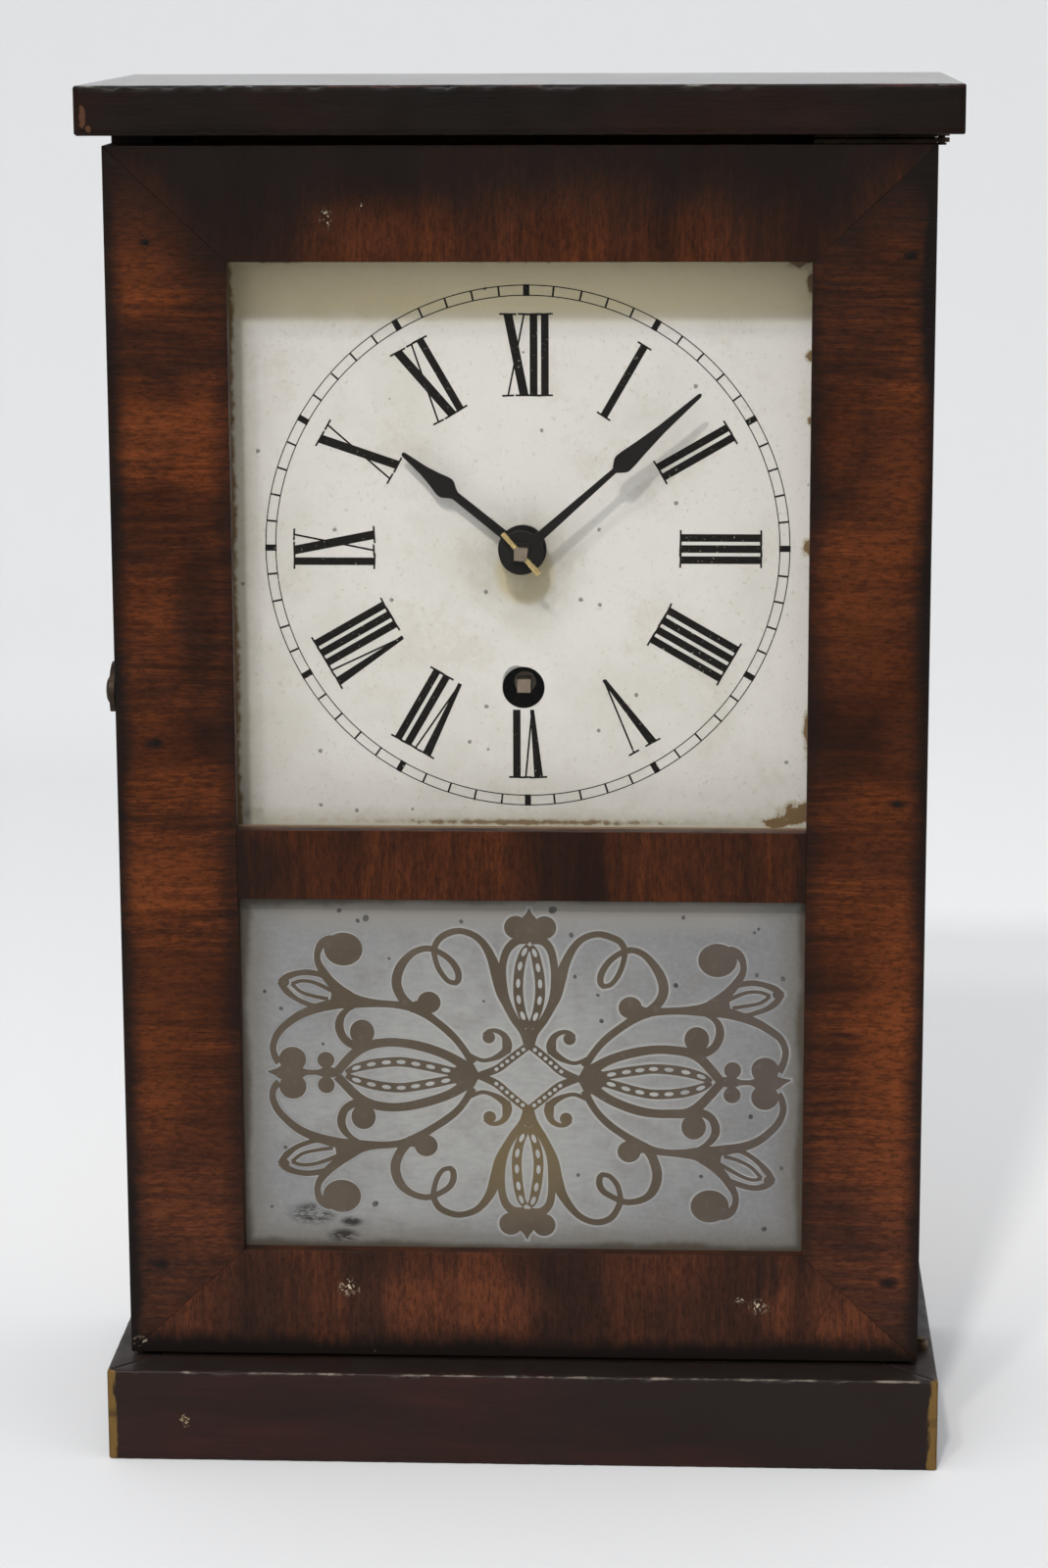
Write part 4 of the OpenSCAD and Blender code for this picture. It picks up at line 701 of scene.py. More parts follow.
def dial_finish():
    """Cream paint on sheet metal, yellowed, dusty and rusted in from the edges of the opening, with painted
    shade under the frame's head and the hub.
    """
    dial = settings("clock_dial")
    finish = Finish("Dial paint", specular=0.3)
    w = finish.w
    x, _, z = w.split(w.vector("SUBTRACT", finish.place, DIAL_CENTRE))
    sides = (w.plus(x, 0.0631), w.minus(0.0690, x), w.minus(0.0652, z), w.plus(z, 0.0634))
    cloud = finish.noise(70, 5, 0.65)
    fine = finish.noise(420, 3, 0.6)
    inside = w.plus(w.least(*sides), w.times(w.minus(cloud, 0.5), 0.0018))
    frayed = w.plus(inside, w.times(w.minus(fine, 0.5), 0.0030))
    dirt = blobs(finish, DIAL_DIRT, fine)
    rusted = w.most(w.ramp(frayed, 0.0002, -0.0010, 0.95), w.ramp(dirt, 0.42, 0.62, 0.95))
    hub = finish.away(Vector((0.001, DIAL_Y, DIAL_CENTRE.z - 0.003)))
    # Painted shadow of the hub, just below it
    hub_shadow = finish.away(Vector((0.0005, DIAL_Y, DIAL_CENTRE.z - 0.0062)))
    key_hole = w.plus(finish.away(Vector((-0.0012, DIAL_Y, WINDING_Z + 0.0017))), w.times(cloud, 0.0030))
    finish.paint(
        dial.paint,
        (w.ramp(finish.noise(34, 5, 0.65), 0.42, 0.70, 0.34), (0.56, 0.52, 0.43)),
        (w.times(finish.grime(52, 0.52), 0.26), (0.50, 0.43, 0.31)),
        (w.ramp(finish.noise(1100, 3, 0.7), 0.60, 0.70, 0.34), (0.40, 0.33, 0.22)),
        # Olive strip under the frame's head: yellowed paint, with a painted olive tint of the frame's shadow
        (w.ramp(z, 0.0475, 0.0530, 0.66), (0.70, 0.57, 0.27)),
        (w.most(w.ramp(frayed, 0.0055, 0, 0.50), w.ramp(dirt, 0, 0.35, 0.55)), (0.40, 0.34, 0.20)),
        # Cloudy brown round the hub, then the hub's painted shadow, tinted olive
        (w.times(w.ramp(hub, 0.019, 0.004, 0.42), w.step(cloud, 0.30, 0.62)), (0.30, 0.25, 0.16)),
        (w.ramp(hub_shadow, 0.0078, 0.0052, 0.55), (0.48, 0.38, 0.14)),
        (w.ramp(key_hole, 0.0048, 0.0044, 0.75), (0.13, 0.125, 0.12)),
        (w.times(finish.specks(240, 0.17, 0.10), 0.72), (0.085, 0.075, 0.055)),
        (rusted, dial.rust))
    return finish.done(w.step(fine, 0.3, 0.7, 0.36, 0.50), w.minus(cloud, w.times(rusted, 0.4)),
                       0.00012, 0.25)


def figure_finish():
    """Black paint of the figures, flecked where it has flaked off."""
    finish = Finish("Figure paint", specular=0.06)
    w = finish.w
    flaked = w.step(finish.streaks((1500, 1500, 1500), 3, 0.65), 0.665, 0.70)
    finish.paint(
        settings("clock_dial").figures,
        (finish.noise(300), (0.013, 0.010, 0.008)),
        (w.times(flaked, 0.85), (0.50, 0.47, 0.40)))
    return finish.done(0.48, finish.noise(1200), 0.00002, 0.4)


def hand_finish():
    """Blued steel gone black."""
    finish = Finish("Black hands", specular=0.15)
    w = finish.w
    finish.paint(settings("clock_dial").figures,
                 (w.times(finish.grime(160, 0.35), 0.35), (0.034, 0.028, 0.024)))
    return finish.done(w.step(finish.noise(400), 0.3, 0.7, 0.35, 0.55), finish.noise(900), 0.00003, 0.4)


def frost_finish():
    """Frosted glass: grey, paler in the middle, brushed, with painted shade and brown dirt at the edges,
    dust and painted light along the top, and three torn blots.
    """
    tablet = settings("clock_tablet")
    finish = Finish("Frosted glass", specular=0.12)
    w = finish.w
    x, _, z = w.split(w.vector("SUBTRACT", finish.place, TABLET_CENTRE))
    across = w.minus(OPENING_HALF, w.math("ABSOLUTE", x))
    up = w.minus((RAIL_LOW.z - TABLET_LOW_Z) / 2, w.math("ABSOLUTE", z))
    cloud = finish.noise(38, 5, 0.62)
    fine = finish.streaks((260, 260, 900), 4, 0.6)
    inside = w.plus(w.least(across, up), w.times(w.minus(cloud, 0.5), 0.006))
    from_pale = w.vector("LENGTH", w.join(w.plus(x, 0.009), w.times(w.plus(z, 0.006), 1.25), 0))
    depth = w.plus(from_pale, w.times(w.minus(cloud, 0.5), 0.050))
    blots = 0.0
    for blot_x, blot_z, reach in FROST_BLOTS:
        point = TABLET_CENTRE + Vector((blot_x, 0, blot_z)) * MM
        away = w.vector("LENGTH", w.stretched(w.vector("SUBTRACT", finish.place, point), (1, 0, 2.1)))
        blots = w.most(blots, w.step(away, reach * MM, reach * MM * 0.3))
    torn = w.step(finish.streaks((190, 300, 520), 4, 0.7), 0.36, 0.52)
    finish.paint(
        tablet.frost_edge,
        (w.step(depth, 0.074, 0.008), tablet.frost),
        (w.ramp(fine, 0.35, 0.75, 0.30), (0.150, 0.148, 0.150)),
        (w.ramp(finish.noise(150, 4, 0.6), 0.48, 0.72, 0.42), (0.185, 0.172, 0.155)),
        (w.ramp(finish.noise(800, 3, 0.7), 0.40, 0.68, 0.14), (0.36, 0.36, 0.37)),
        # Paler strip along the top: dust, and painted light that lifts the middle rail's shadow
        (w.times(w.ramp(z, 0.031, 0.037, 0.80), w.step(across, 0.002, 0.018)), (0.315, 0.303, 0.285)),
        # Painted shade of the frame along the edges, tinted brown with dirt, darkest in a rim against the
        # frame
        (w.ramp(inside, 0.009, 0.001, 0.50), (0.140, 0.120, 0.085)),
        (w.ramp(inside, 0.0022, 0.0002, 0.85), (0.070, 0.056, 0.040)),
        (w.times(w.times(blots, torn), 0.95), (0.026, 0.022, 0.019)))
    return finish.done(w.step(cloud, 0.3, 0.7, 0.50, 0.62), fine, 0.00003, 0.3)


def ornament_finish():
    """Brown ornament in the frost, the painted shade of the case's dark inside seen through clear strokes:
    golden at the foot, taupe towards the right.
    """
    finish = Finish("Ornament", specular=0.12)
    w = finish.w
    x, _, z = w.split(w.vector("SUBTRACT", finish.place, TABLET_CENTRE))
    from_foot = w.vector("LENGTH", w.join(x, w.plus(z, 0.018), 0))
    # Painted shade: the brown stands for the case's shaded inside, seen through the ornament
    finish.paint(
        settings("clock_tablet").ornament,
        (w.step(finish.noise(60, 4, 0.6), 0.35, 0.68), (0.104, 0.082, 0.062)),
        (w.ramp(from_foot, 0.020, 0.004, 0.65), (0.170, 0.125, 0.062)),
        (w.ramp(x, 0.020, 0.055, 0.45), (0.086, 0.070, 0.066)),
        (w.ramp(finish.noise(520, 3, 0.6), 0.56, 0.75, 0.3), (0.15, 0.135, 0.12)))
    return finish.done(0.6, finish.noise(700), 0.00002, 0.3)


def halo_finish(name, share):
    """Pale rim where the frost stands thick round the ornament, patchy along its length."""
    tablet = settings("clock_tablet")
    finish = Finish(name, specular=0.12)
    w = finish.w
    thin = w.step(finish.noise(220, 4, 0.6), 0.32, 0.68, 0.25, 1)
    finish.paint(
        tablet.frost_edge,
        (w.step(finish.away(TABLET_CENTRE), 0.062, 0.008), tablet.frost),
        (w.times(thin, share), tablet.halo))
    return finish.done(0.6, finish.noise(700), 0.00002, 0.3)


def speck_finish(name, tint, other):
    """Dull dark matter: fly specks on the tablet, rusted nail heads."""
    finish = Finish(name, specular=0.1)
    finish.paint(tint, (finish.w.step(finish.noise(500, 3), 0.35, 0.65), other))
    return finish.done(0.75, finish.noise(1500, 2), 0.00003, 0.5)


def bead_finish():
    """Beads round the dial's glass: cream paint darkened to the dial's paint in shade, gone brown with dirt,
    darkest on the lower bead.
    """
    finish = Finish("Painted bead", specular=0.1)
    w = finish.w
    low = w.step(w.split(finish.place)[2], RAIL_HIGH.z + 0.0035, RAIL_HIGH.z + 0.0005)
    dirt = w.most(w.ramp(finish.noise(300, 4), 0.45, 0.70, 0.8), w.times(low, 0.85))
    # The cream is darkened to look like the dial's paint in shade: painted shade
    finish.paint((0.44, 0.38, 0.29), (dirt, (0.17, 0.095, 0.045)))
    return finish.done(0.75, finish.noise(1500, 2), 0.00003, 0.5)


def clear_glass_finish():
    """Old window glass, clear and faintly uneven; the lamps' light passes straight through."""
    finish = Finish("Clear glass", transmission=1, ior=1.3)
    w = finish.w
    finish.paint((0.985, 0.99, 0.985))
    rays = w.node("ShaderNodeLightPath").outputs
    finish.let_through(w.most(rays["Is Shadow Ray"], rays["Is Diffuse Ray"]), (0.95, 0.955, 0.945))
    return finish.done(0, finish.noise(12, 1), 0.0002, 0.04)


def metal_finish(name, tint, tarnish, amount, rough_low, rough_high):
    """Metal with cloudy tarnish."""
    finish = Finish(name, metallic=1)
    w = finish.w
    cloud = finish.grime(55, amount)
    fine = finish.noise(800, 3)
    finish.paint(tint, (w.times(cloud, 0.8), tarnish))
    rough = w.plus(w.step(fine, 0.3, 0.7, rough_low, rough_high), w.times(cloud, 0.15))
    return finish.done(rough, fine, 0.00002, 0.3)


def plate_finish():
    """Brass plate, black round the winding arbor: old oil, and painted shade where it lies behind the dial's
    hole.
    """
    finish = Finish("Brass plate", metallic=1)
    w = finish.w
    x, _, z = w.split(finish.place)
    away = w.vector("LENGTH", w.join(x, 0, w.minus(z, WINDING_Z)))
    # Black round the winding arbor: old oil, and painted shade of the dial's hole
    oil_and_hole_shade = w.step(w.plus(away, w.times(finish.noise(200), 0.004)), 0.019, 0.014)
    finish.paint(
        settings("clock_metal").brass,
        (w.times(finish.grime(55, 0.5), 0.8), BRASS_TARNISH),
        (oil_and_hole_shade, (0.012, 0.009, 0.006)))
    finish.rough(w.plus(w.step(finish.noise(800), 0.3, 0.7, 0.3, 0.42), w.times(oil_and_hole_shade, 0.4)))
    return finish.material


def build_finishes():
    """Every finish by name."""
    metal = settings("clock_metal")
    return {
        "stile_left": veneer_finish("Left stile veneer", "X", (0.80, 0.95), (0.0, 0.0, 0.0)),
        "stile_right": veneer_finish("Right stile veneer", "X", (1.0, 0.70), (0.31, 0.2, 0.4)),
        "rail_top": veneer_finish("Top rail veneer", "Z", (0.9, 0.88), (0.2, 0.5, 0.1), 0.6),
        "rail_middle": veneer_finish("Middle rail veneer", "Z", (0.68, 0.68), (0.7, 0.3, 0.2), 0.55),
        "rail_bottom": veneer_finish("Bottom rail veneer", "Z", (0.84, 0.80), (0.1, 0.9, 0.3), 0.55),
        "cornice": cornice_finish(),
        "plinth": plinth_finish(),
        "side_left": plain_board("Left side", "Z", "side_left"),
        "side_right": plain_board("Right side", "Z", "side_right"),
        "pine": pine_finish("Pine", 1.0),
        "dark_pine": pine_finish("Dark pine", 0.12),
        "cream_in_shade": bead_finish(),
        "core": core_finish(),
        "dial": dial_finish(),
        "figures": figure_finish(),
        "hands": hand_finish(),
        "frost": frost_finish(),
        "ornament": ornament_finish(),
        "halo": halo_finish("Ornament halo", 0.62),
        "glow": halo_finish("Ornament glow", 0.16),
        "specks": speck_finish("Specks", (0.060, 0.056, 0.052), (0.100, 0.094, 0.088)),
        "rusted": speck_finish("Rusted nail", (0.006, 0.005, 0.0045), (0.013, 0.009, 0.007)),
        "glass": clear_glass_finish(),
        "plate": plate_finish(),
        "brass": metal_finish("Brass", metal.brass, BRASS_TARNISH, 0.5, 0.28, 0.42),
        "black_brass": metal_finish("Black brass", (0.050, 0.036, 0.026), (0.022, 0.016, 0.012),
                                    0.6, 0.45, 0.6),
        "old_brass": metal_finish("Old brass", metal.old_brass, (0.06, 0.04, 0.022), 0.6, 0.38, 0.55),
        "pin_brass": metal_finish("Pin brass", metal.pin_brass, (0.42, 0.28, 0.10), 0.3, 0.22, 0.34),
        "steel": metal_finish("Steel", metal.steel, (0.13, 0.10, 0.08), 0.45, 0.30, 0.45),
        "brown_steel": metal_finish("Brown steel", (0.235, 0.185, 0.140), (0.100, 0.072, 0.052),
                                    0.5, 0.50, 0.65),
    }


FINISHES = {}


def finish_of(name):
    if not FINISHES:
        FINISHES.update(build_finishes())
    return FINISHES[name]


def coat_nodes(finish_name, *nodes):
    """Gives CAD nodes a finish."""
    for node in nodes:
        NODES[node].data.materials.clear()
        NODES[node].data.materials.append(finish_of(finish_name))


# Meshes

def new_piece(name, mesh, finish_name, body, replaced=()):
    """Adds a finished mesh that rides on a body and takes its finish by name."""
    piece = bpy.data.objects.new(name, mesh)
    bpy.context.scene.collection.objects.link(piece)
    mesh.materials.clear()
    mesh.materials.append(finish_of(finish_name))
    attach(piece, body)
    if replaced:
        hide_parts(*replaced)
    return piece


def mesh_of(name, build, smooth=False):
    """A mesh from a function that fills a bmesh; its faces are turned outwards."""
    bm = bmesh.new()
    build(bm)
    bmesh.ops.recalc_face_normals(bm, faces=bm.faces)
    mesh = bpy.data.meshes.new(name)
    bm.to_mesh(mesh)
    bm.free()
    if smooth:
        mesh.polygons.foreach_set("use_smooth", [True] * len(mesh.polygons))
    return mesh


def built(name, build, finish_name, body, replaced=(), smooth=False):
    """A piece whose mesh a function fills."""
    return new_piece(name, mesh_of(name, build, smooth), finish_name, body, replaced)


def stations(low, high, radius, step):
    """Grid lines from low to high, close together where the ends are rounded."""
    rounded = [radius * part for part in (0.0, 0.12, 0.35, 0.65, 1.0)]
    count = max(1, round((high - low - 2 * radius) / step))
    middle = [low + radius + (high - low - 2 * radius) * i / count for i in range(1, count)]
    return [low + part for part in rounded] + middle + [high - part for part in reversed(rounded)]


def worn_block(bm, low, high, radius, step, wear, seed, shape=None):
    """A board with rounded arrises: wear eats into the edges, and shape bends the box into the piece."""
    lines = [stations(low[axis], high[axis], min(radius, (high[axis] - low[axis]) / 2.2), step)
             for axis in range(3)]
    points = {}
    core_low = Vector(low) + Vector((radius,) * 3)
    core_high = Vector(high) - Vector((radius,) * 3)

    def point(i, j, k):
        if (i, j, k) in points:
            return points[i, j, k]
        raw = Vector((lines[0][i], lines[1][j], lines[2][k]))
        core = Vector([min(max(raw[axis], min(core_low[axis], core_high[axis])),
                           max(core_low[axis], core_high[axis])) for axis in range(3)])
        out = raw - core
        edges = sum(abs(value) > 1e-9 for value in out)
        place = core + out.normalized() * radius if edges > 1 else raw
        if edges > 1 and wear:
            rough = noise.fractal(place * WEAR_WAVES + Vector((seed, 0, 0)), 0.7, 2.1, 4)
            bite = max(0.0, rough - WEAR_FREE)
            place = place - out.normalized() * min(wear * bite * WEAR_DEPTH, radius)
        if shape:
            place = shape(place)
        points[i, j, k] = bm.verts.new(place)
        return points[i, j, k]

    counts = [len(line) - 1 for line in lines]
    for axis in range(3):
        a, b = (axis + 1) % 3, (axis + 2) % 3
        for end in (0, counts[axis]):
            for u in range(counts[a]):
                for v in range(counts[b]):
                    corners = []
                    for du, dv in ((0, 0), (1, 0), (1, 1), (0, 1)):
                        index = [0, 0, 0]
                        index[axis], index[a], index[b] = end, u + du, v + dv
                        corners.append(point(*index))
                    bm.faces.new(corners)


def softened(node, width, angle=30):
    """A merged copy of a CAD node's mesh with its sharp edges bevelled."""
    bm = bmesh.new()
    bm.from_mesh(NODES[node].data)
    bmesh.ops.remove_doubles(bm, verts=bm.verts, dist=0.000002)
    bmesh.ops.dissolve_limit(bm, angle_limit=math.radians(1), verts=bm.verts, edges=bm.edges)
    sharp = [edge for edge in bm.edges
             if len(edge.link_faces) == 2 and edge.calc_face_angle(0) > math.radians(angle)]
    bmesh.ops.bevel(bm, geom=sharp, offset=width, segments=2, profile=0.6, affect="EDGES",
                    clamp_overlap=True)
    mesh = bpy.data.meshes.new(node)
    bm.to_mesh(mesh)
    bm.free()
    return mesh


def slab(bm, outline, y_front, y_back):
    """A thin prism of an outline in X and Z, between two depths."""
    front = [bm.verts.new((x, y_front, z)) for x, z in outline]
    back = [bm.verts.new((x, y_back, z)) for x, z in outline]
    count = len(outline)
    bm.faces.new(front)
    bm.faces.new(list(reversed(back)))
    for i in range(count):
        bm.faces.new((front[i], back[i], back[(i + 1) % count], front[(i + 1) % count]))


def ring(bm, centre, inner, outer, y_front, y_back):
    """A flat ring between two radii."""
    sides = TRACK_SIDES
    turns = [2 * math.pi * i / sides for i in range(sides)]
    loops = []
    for radius, y in ((inner, y_front), (outer, y_front), (outer, y_back), (inner, y_back)):
        loops.append([bm.verts.new((centre.x + radius * math.sin(a), y, centre.z + radius * math.cos(a)))
                      for a in turns])
    for k in range(4):
        a, b = loops[k], loops[(k + 1) % 4]
        for i in range(sides):
            bm.faces.new((a[i], a[(i + 1) % sides], b[(i + 1) % sides], b[i]))


# Geometry Nodes that repeat a small part

def repeat_tree(name, part):
    """Puts a bar or a round head on each point of a carrier mesh, turned and stretched by its attributes."""
    tree = bpy.data.node_groups.new(name, "GeometryNodeTree")
    face = tree.interface
    face.new_socket("Geometry", in_out="INPUT", socket_type="NodeSocketGeometry")
    for label, default in (("Width", 0.001), ("Length", 0.001), ("Height", 0.001)):
        face.new_socket(label, in_out="INPUT", socket_type="NodeSocketFloat").default_value = default
    face.new_socket("Material", in_out="INPUT", socket_type="NodeSocketMaterial")
    face.new_socket("Geometry", in_out="OUTPUT", socket_type="NodeSocketGeometry")
    w = Wires(tree)
    given = w.node("NodeGroupInput").outputs
    if part == "bar":
        solid = w.node("GeometryNodeMeshCube")
        w.feed(solid.inputs["Size"], w.join(given["Width"], given["Height"], given["Length"]))
        shape = solid.outputs["Mesh"]
    else:
        solid = w.node("GeometryNodeMeshUVSphere")
        solid.inputs["Segments"].default_value = 16
        solid.inputs["Rings"].default_value = 8
        solid.inputs["Radius"].default_value = 0.5
        sized = w.node("GeometryNodeTransform")
        w.feed(sized.inputs["Geometry"], solid.outputs["Mesh"])
        w.feed(sized.inputs["Scale"], w.join(given["Width"], given["Height"], given["Length"]))
        shape = sized.outputs["Geometry"]
    points = w.node("GeometryNodeMeshToPoints")
    w.feed(points.inputs["Mesh"], given["Geometry"])
    placed = w.node("GeometryNodeInstanceOnPoints")
    w.feed(placed.inputs["Points"], points.outputs["Points"])
    w.feed(placed.inputs["Instance"], shape)
    for label, attribute in (("Rotation", "turn"), ("Scale", "stretch")):
        read = w.node("GeometryNodeInputNamedAttribute", data_type="FLOAT_VECTOR")
        read.inputs["Name"].default_value = attribute
        w.feed(placed.inputs[label], read.outputs["Attribute"])
    real = w.node("GeometryNodeRealizeInstances")
    w.feed(real.inputs["Geometry"], placed.outputs["Instances"])
    painted = w.node("GeometryNodeSetMaterial")
    w.feed(painted.inputs["Geometry"], real.outputs["Geometry"])
    w.feed(painted.inputs["Material"], given["Material"])
    w.feed(w.node("NodeGroupOutput").inputs[0], painted.outputs["Geometry"])
    return tree


def repeated(name, part, places, size, finish_name, body):
    """A piece of bars or heads of one size (X, Z, Y); each place is (point, turn about Y, stretch)."""
    carrier = bpy.data.meshes.new(name + "_points")
    carrier.from_pydata([place[0] for place in places], [], [])
    turns = [(0, place[1], 0) for place in places]
    stretches = [place[2] for place in places]
    for attribute, values in (("turn", turns), ("stretch", stretches)):
        data = carrier.attributes.new(attribute, "FLOAT_VECTOR", "POINT").data
        for item, value in zip(data, values):
            item.vector = value
    holder = bpy.data.objects.new(name + "_holder", carrier)
    bpy.context.scene.collection.objects.link(holder)
    if part not in GROUPS:
        GROUPS[part] = repeat_tree("Repeated " + part, part)
    modifier = holder.modifiers.new("Repeat", "NODES")
    modifier.node_group = GROUPS[part]
    items = GROUPS[part].interface.items_tree
    sockets = {item.name: item.identifier for item in items if item.in_out == "INPUT"}
    for label, value in zip(("Width", "Length", "Height", "Material"), (*size, finish_of(finish_name))):
        modifier[sockets[label]] = value
    bpy.context.view_layer.update()
    graph = bpy.context.evaluated_depsgraph_get()
    mesh = bpy.data.meshes.new_from_object(holder.evaluated_get(graph))
    mesh.name = name
    holder.modifiers.clear()
    bpy.data.objects.remove(holder)
    bpy.data.meshes.remove(carrier)
    return new_piece(name, mesh, finish_name, body)


# Case

def build_cornice():
    """Cornice board and its veneered edge, as one worn slab."""
    wood = settings("clock_wood")
    seed = settings("clock_studio").seed

    def build(bm):
        worn_block(bm, CORNICE_LOW, CORNICE_HIGH, wood.arris, BOARD_STEP, wood.wear, seed)

    built("cornice", build, "cornice", "case", ("cornice_board", "cornice_veneer"), True)


def build_plinth():
    """Plinth strips with mitred front corners and worn arrises."""
    wood = settings("clock_wood")
    seed = settings("clock_studio").seed
    depth = PLINTH_HIGH.y - PLINTH_LOW.y
    half = PLINTH_HIGH.x

    def mitred_front(point):
        return Vector((point.x * (half - (point.y - PLINTH_LOW.y)) / half, point.y, point.z))

    def front(bm):
        worn_block(bm, PLINTH_LOW, PLINTH_HIGH, wood.arris, BOARD_STEP, wood.wear, seed + 1, mitred_front)

    built("plinth_front_worn", front, "plinth", "case", ("plinth_front",), True)
    for side, name in ((-1, "left"), (1, "right")):
        def mitred_side(point, side=side):
            start = PLINTH_LOW.y + half - point.x * side
            along = (point.y - PLINTH_LOW.y) / (BACK_Y - PLINTH_LOW.y)
            return Vector((point.x, start + along * (BACK_Y - start), point.z))

        low = Vector((min(side * half, side * (half - depth)), PLINTH_LOW.y, 0))
        high = Vector((max(side * half, side * (half - depth)), BACK_Y, PLINTH_HIGH.z))

        def strip(bm, low=low, high=high, mitred=mitred_side, side=side):
            worn_block(bm, low, high, wood.arris, BOARD_STEP, wood.wear, seed + 3 + side, mitred)

        built("plinth_%s_worn" % name, strip, "plinth", "case", ("plinth_side_" + name,), True)


def build_boards():
    """Side boards, back, base and dial supports keep the frame's solids."""
    coat_nodes("side_left", "side_left")
    coat_nodes("side_right", "side_right")
    coat_nodes("dark_pine", "base_board")
    coat_nodes("pine", "backboard", "dial_strips", "movement_cleats")


def build_veneers():
    """The door's five veneer pieces, mitred at the corners, with softened edges."""
    wood = settings("clock_wood")
    seed = settings("clock_studio").seed
    stile = CASE_HALF - OPENING_HALF

    def placed(kind):
        """Bends a box into a stile's or a rail's mitred outline."""
        def shape(point):
            if kind == "stile":
                out = (abs(point.x) - OPENING_HALF) / stile
                low = TABLET_LOW_Z + out * (DOOR_LOW.z - TABLET_LOW_Z)
                high = DIAL_TOP_Z + out * (DOOR_HIGH.z - DIAL_TOP_Z)
                part = (point.z - DOOR_LOW.z) / (DOOR_HIGH.z - DOOR_LOW.z)
                return Vector((point.x, point.y, low + part * (high - low)))
            height = DOOR_HIGH.z - DIAL_TOP_Z if kind == "top" else TABLET_LOW_Z - DOOR_LOW.z
            inner = DIAL_TOP_Z if kind == "top" else TABLET_LOW_Z
            reach = OPENING_HALF + stile * abs(point.z - inner) / height
            return Vector((point.x * reach / CASE_HALF, point.y, point.z))
        return shape

    front = DOOR_LOW.y
    back = front + (span("veneer_top")[1].y - span("veneer_top")[0].y)
    foot, head = DOOR_LOW.z, DOOR_HIGH.z
    outer, inner = CASE_HALF, OPENING_HALF
    pieces = (
        ("left", "stile_left", (-outer, front, foot), (-inner, back, head), placed("stile")),
        ("right", "stile_right", (inner, front, foot), (outer, back, head), placed("stile")),
        ("top", "rail_top", (-outer, front, DIAL_TOP_Z), (outer, back, head), placed("top")),
        ("bottom", "rail_bottom", (-outer, front, foot), (outer, back, TABLET_LOW_Z), placed("bottom")),
        ("middle", "rail_middle", RAIL_LOW, RAIL_HIGH, None),
    )
    for number, (side, finish_name, low, high, shape) in enumerate(pieces):
        node = "veneer_" + side

        def build(bm, low=low, high=high, shape=shape, number=number):
            worn_block(bm, low, high, VENEER_ARRIS, VENEER_STEP, wood.wear * 0.5, seed + 10 + number, shape)

        built(node + "_worn", build, finish_name, "door", (node,))


def build_door_core():
    """Stiles, rails and glazing beads behind the veneer keep the frame's solids."""
    coat_nodes("core", "stile_left", "stile_right", "rail_top", "rail_middle", "rail_bottom")
    coat_nodes("cream_in_shade", "glazing_beads_upper")
    coat_nodes("core", "glazing_beads_lower")


def build_glass():
    coat_nodes("glass", "dial_glass")
    coat_nodes("frost", "tablet_glass")


# Dial

# The dial was painted a little off its arbor
PAINT_CENTRE = DIAL_CENTRE + Vector((0.0009, 0, -0.0003))
THICK, THIN = "thick", "thin"
PITCH_I = 0.00246
HALF_X = 0.00175
HALF_V = 0.00145
HALF_LONE_V = 0.0024
HOLE_EDGE = DIAL_CENTRE.z - WINDING_Z + 0.0047


def figure_strokes(text):
    """Strokes of a Roman figure as (kind, x at the foot, x at the head), centred on x = 0."""
    strokes = []
    cursor = 0.0
    for letter in text:
        if letter == "I":
            strokes.append((THICK, cursor, cursor))
            cursor += PITCH_I
        elif letter == "V":
            half = HALF_LONE_V if text == "V" else HALF_V
            strokes.append((THICK, cursor + half, cursor))
            strokes.append((THIN, cursor + half, cursor + 2 * half))
            cursor += 2 * half + PITCH_I * 0.8
        else:
            strokes.append((THICK, cursor + 2 * HALF_X, cursor))
            strokes.append((THIN, cursor, cursor + 2 * HALF_X))
            cursor += 2 * HALF_X + PITCH_I * 0.85
    ends = [x for _, foot, head in strokes for x in (foot, head)]
    middle = (min(ends) + max(ends)) / 2
    return [(kind, foot - middle, head - middle) for kind, foot, head in strokes]


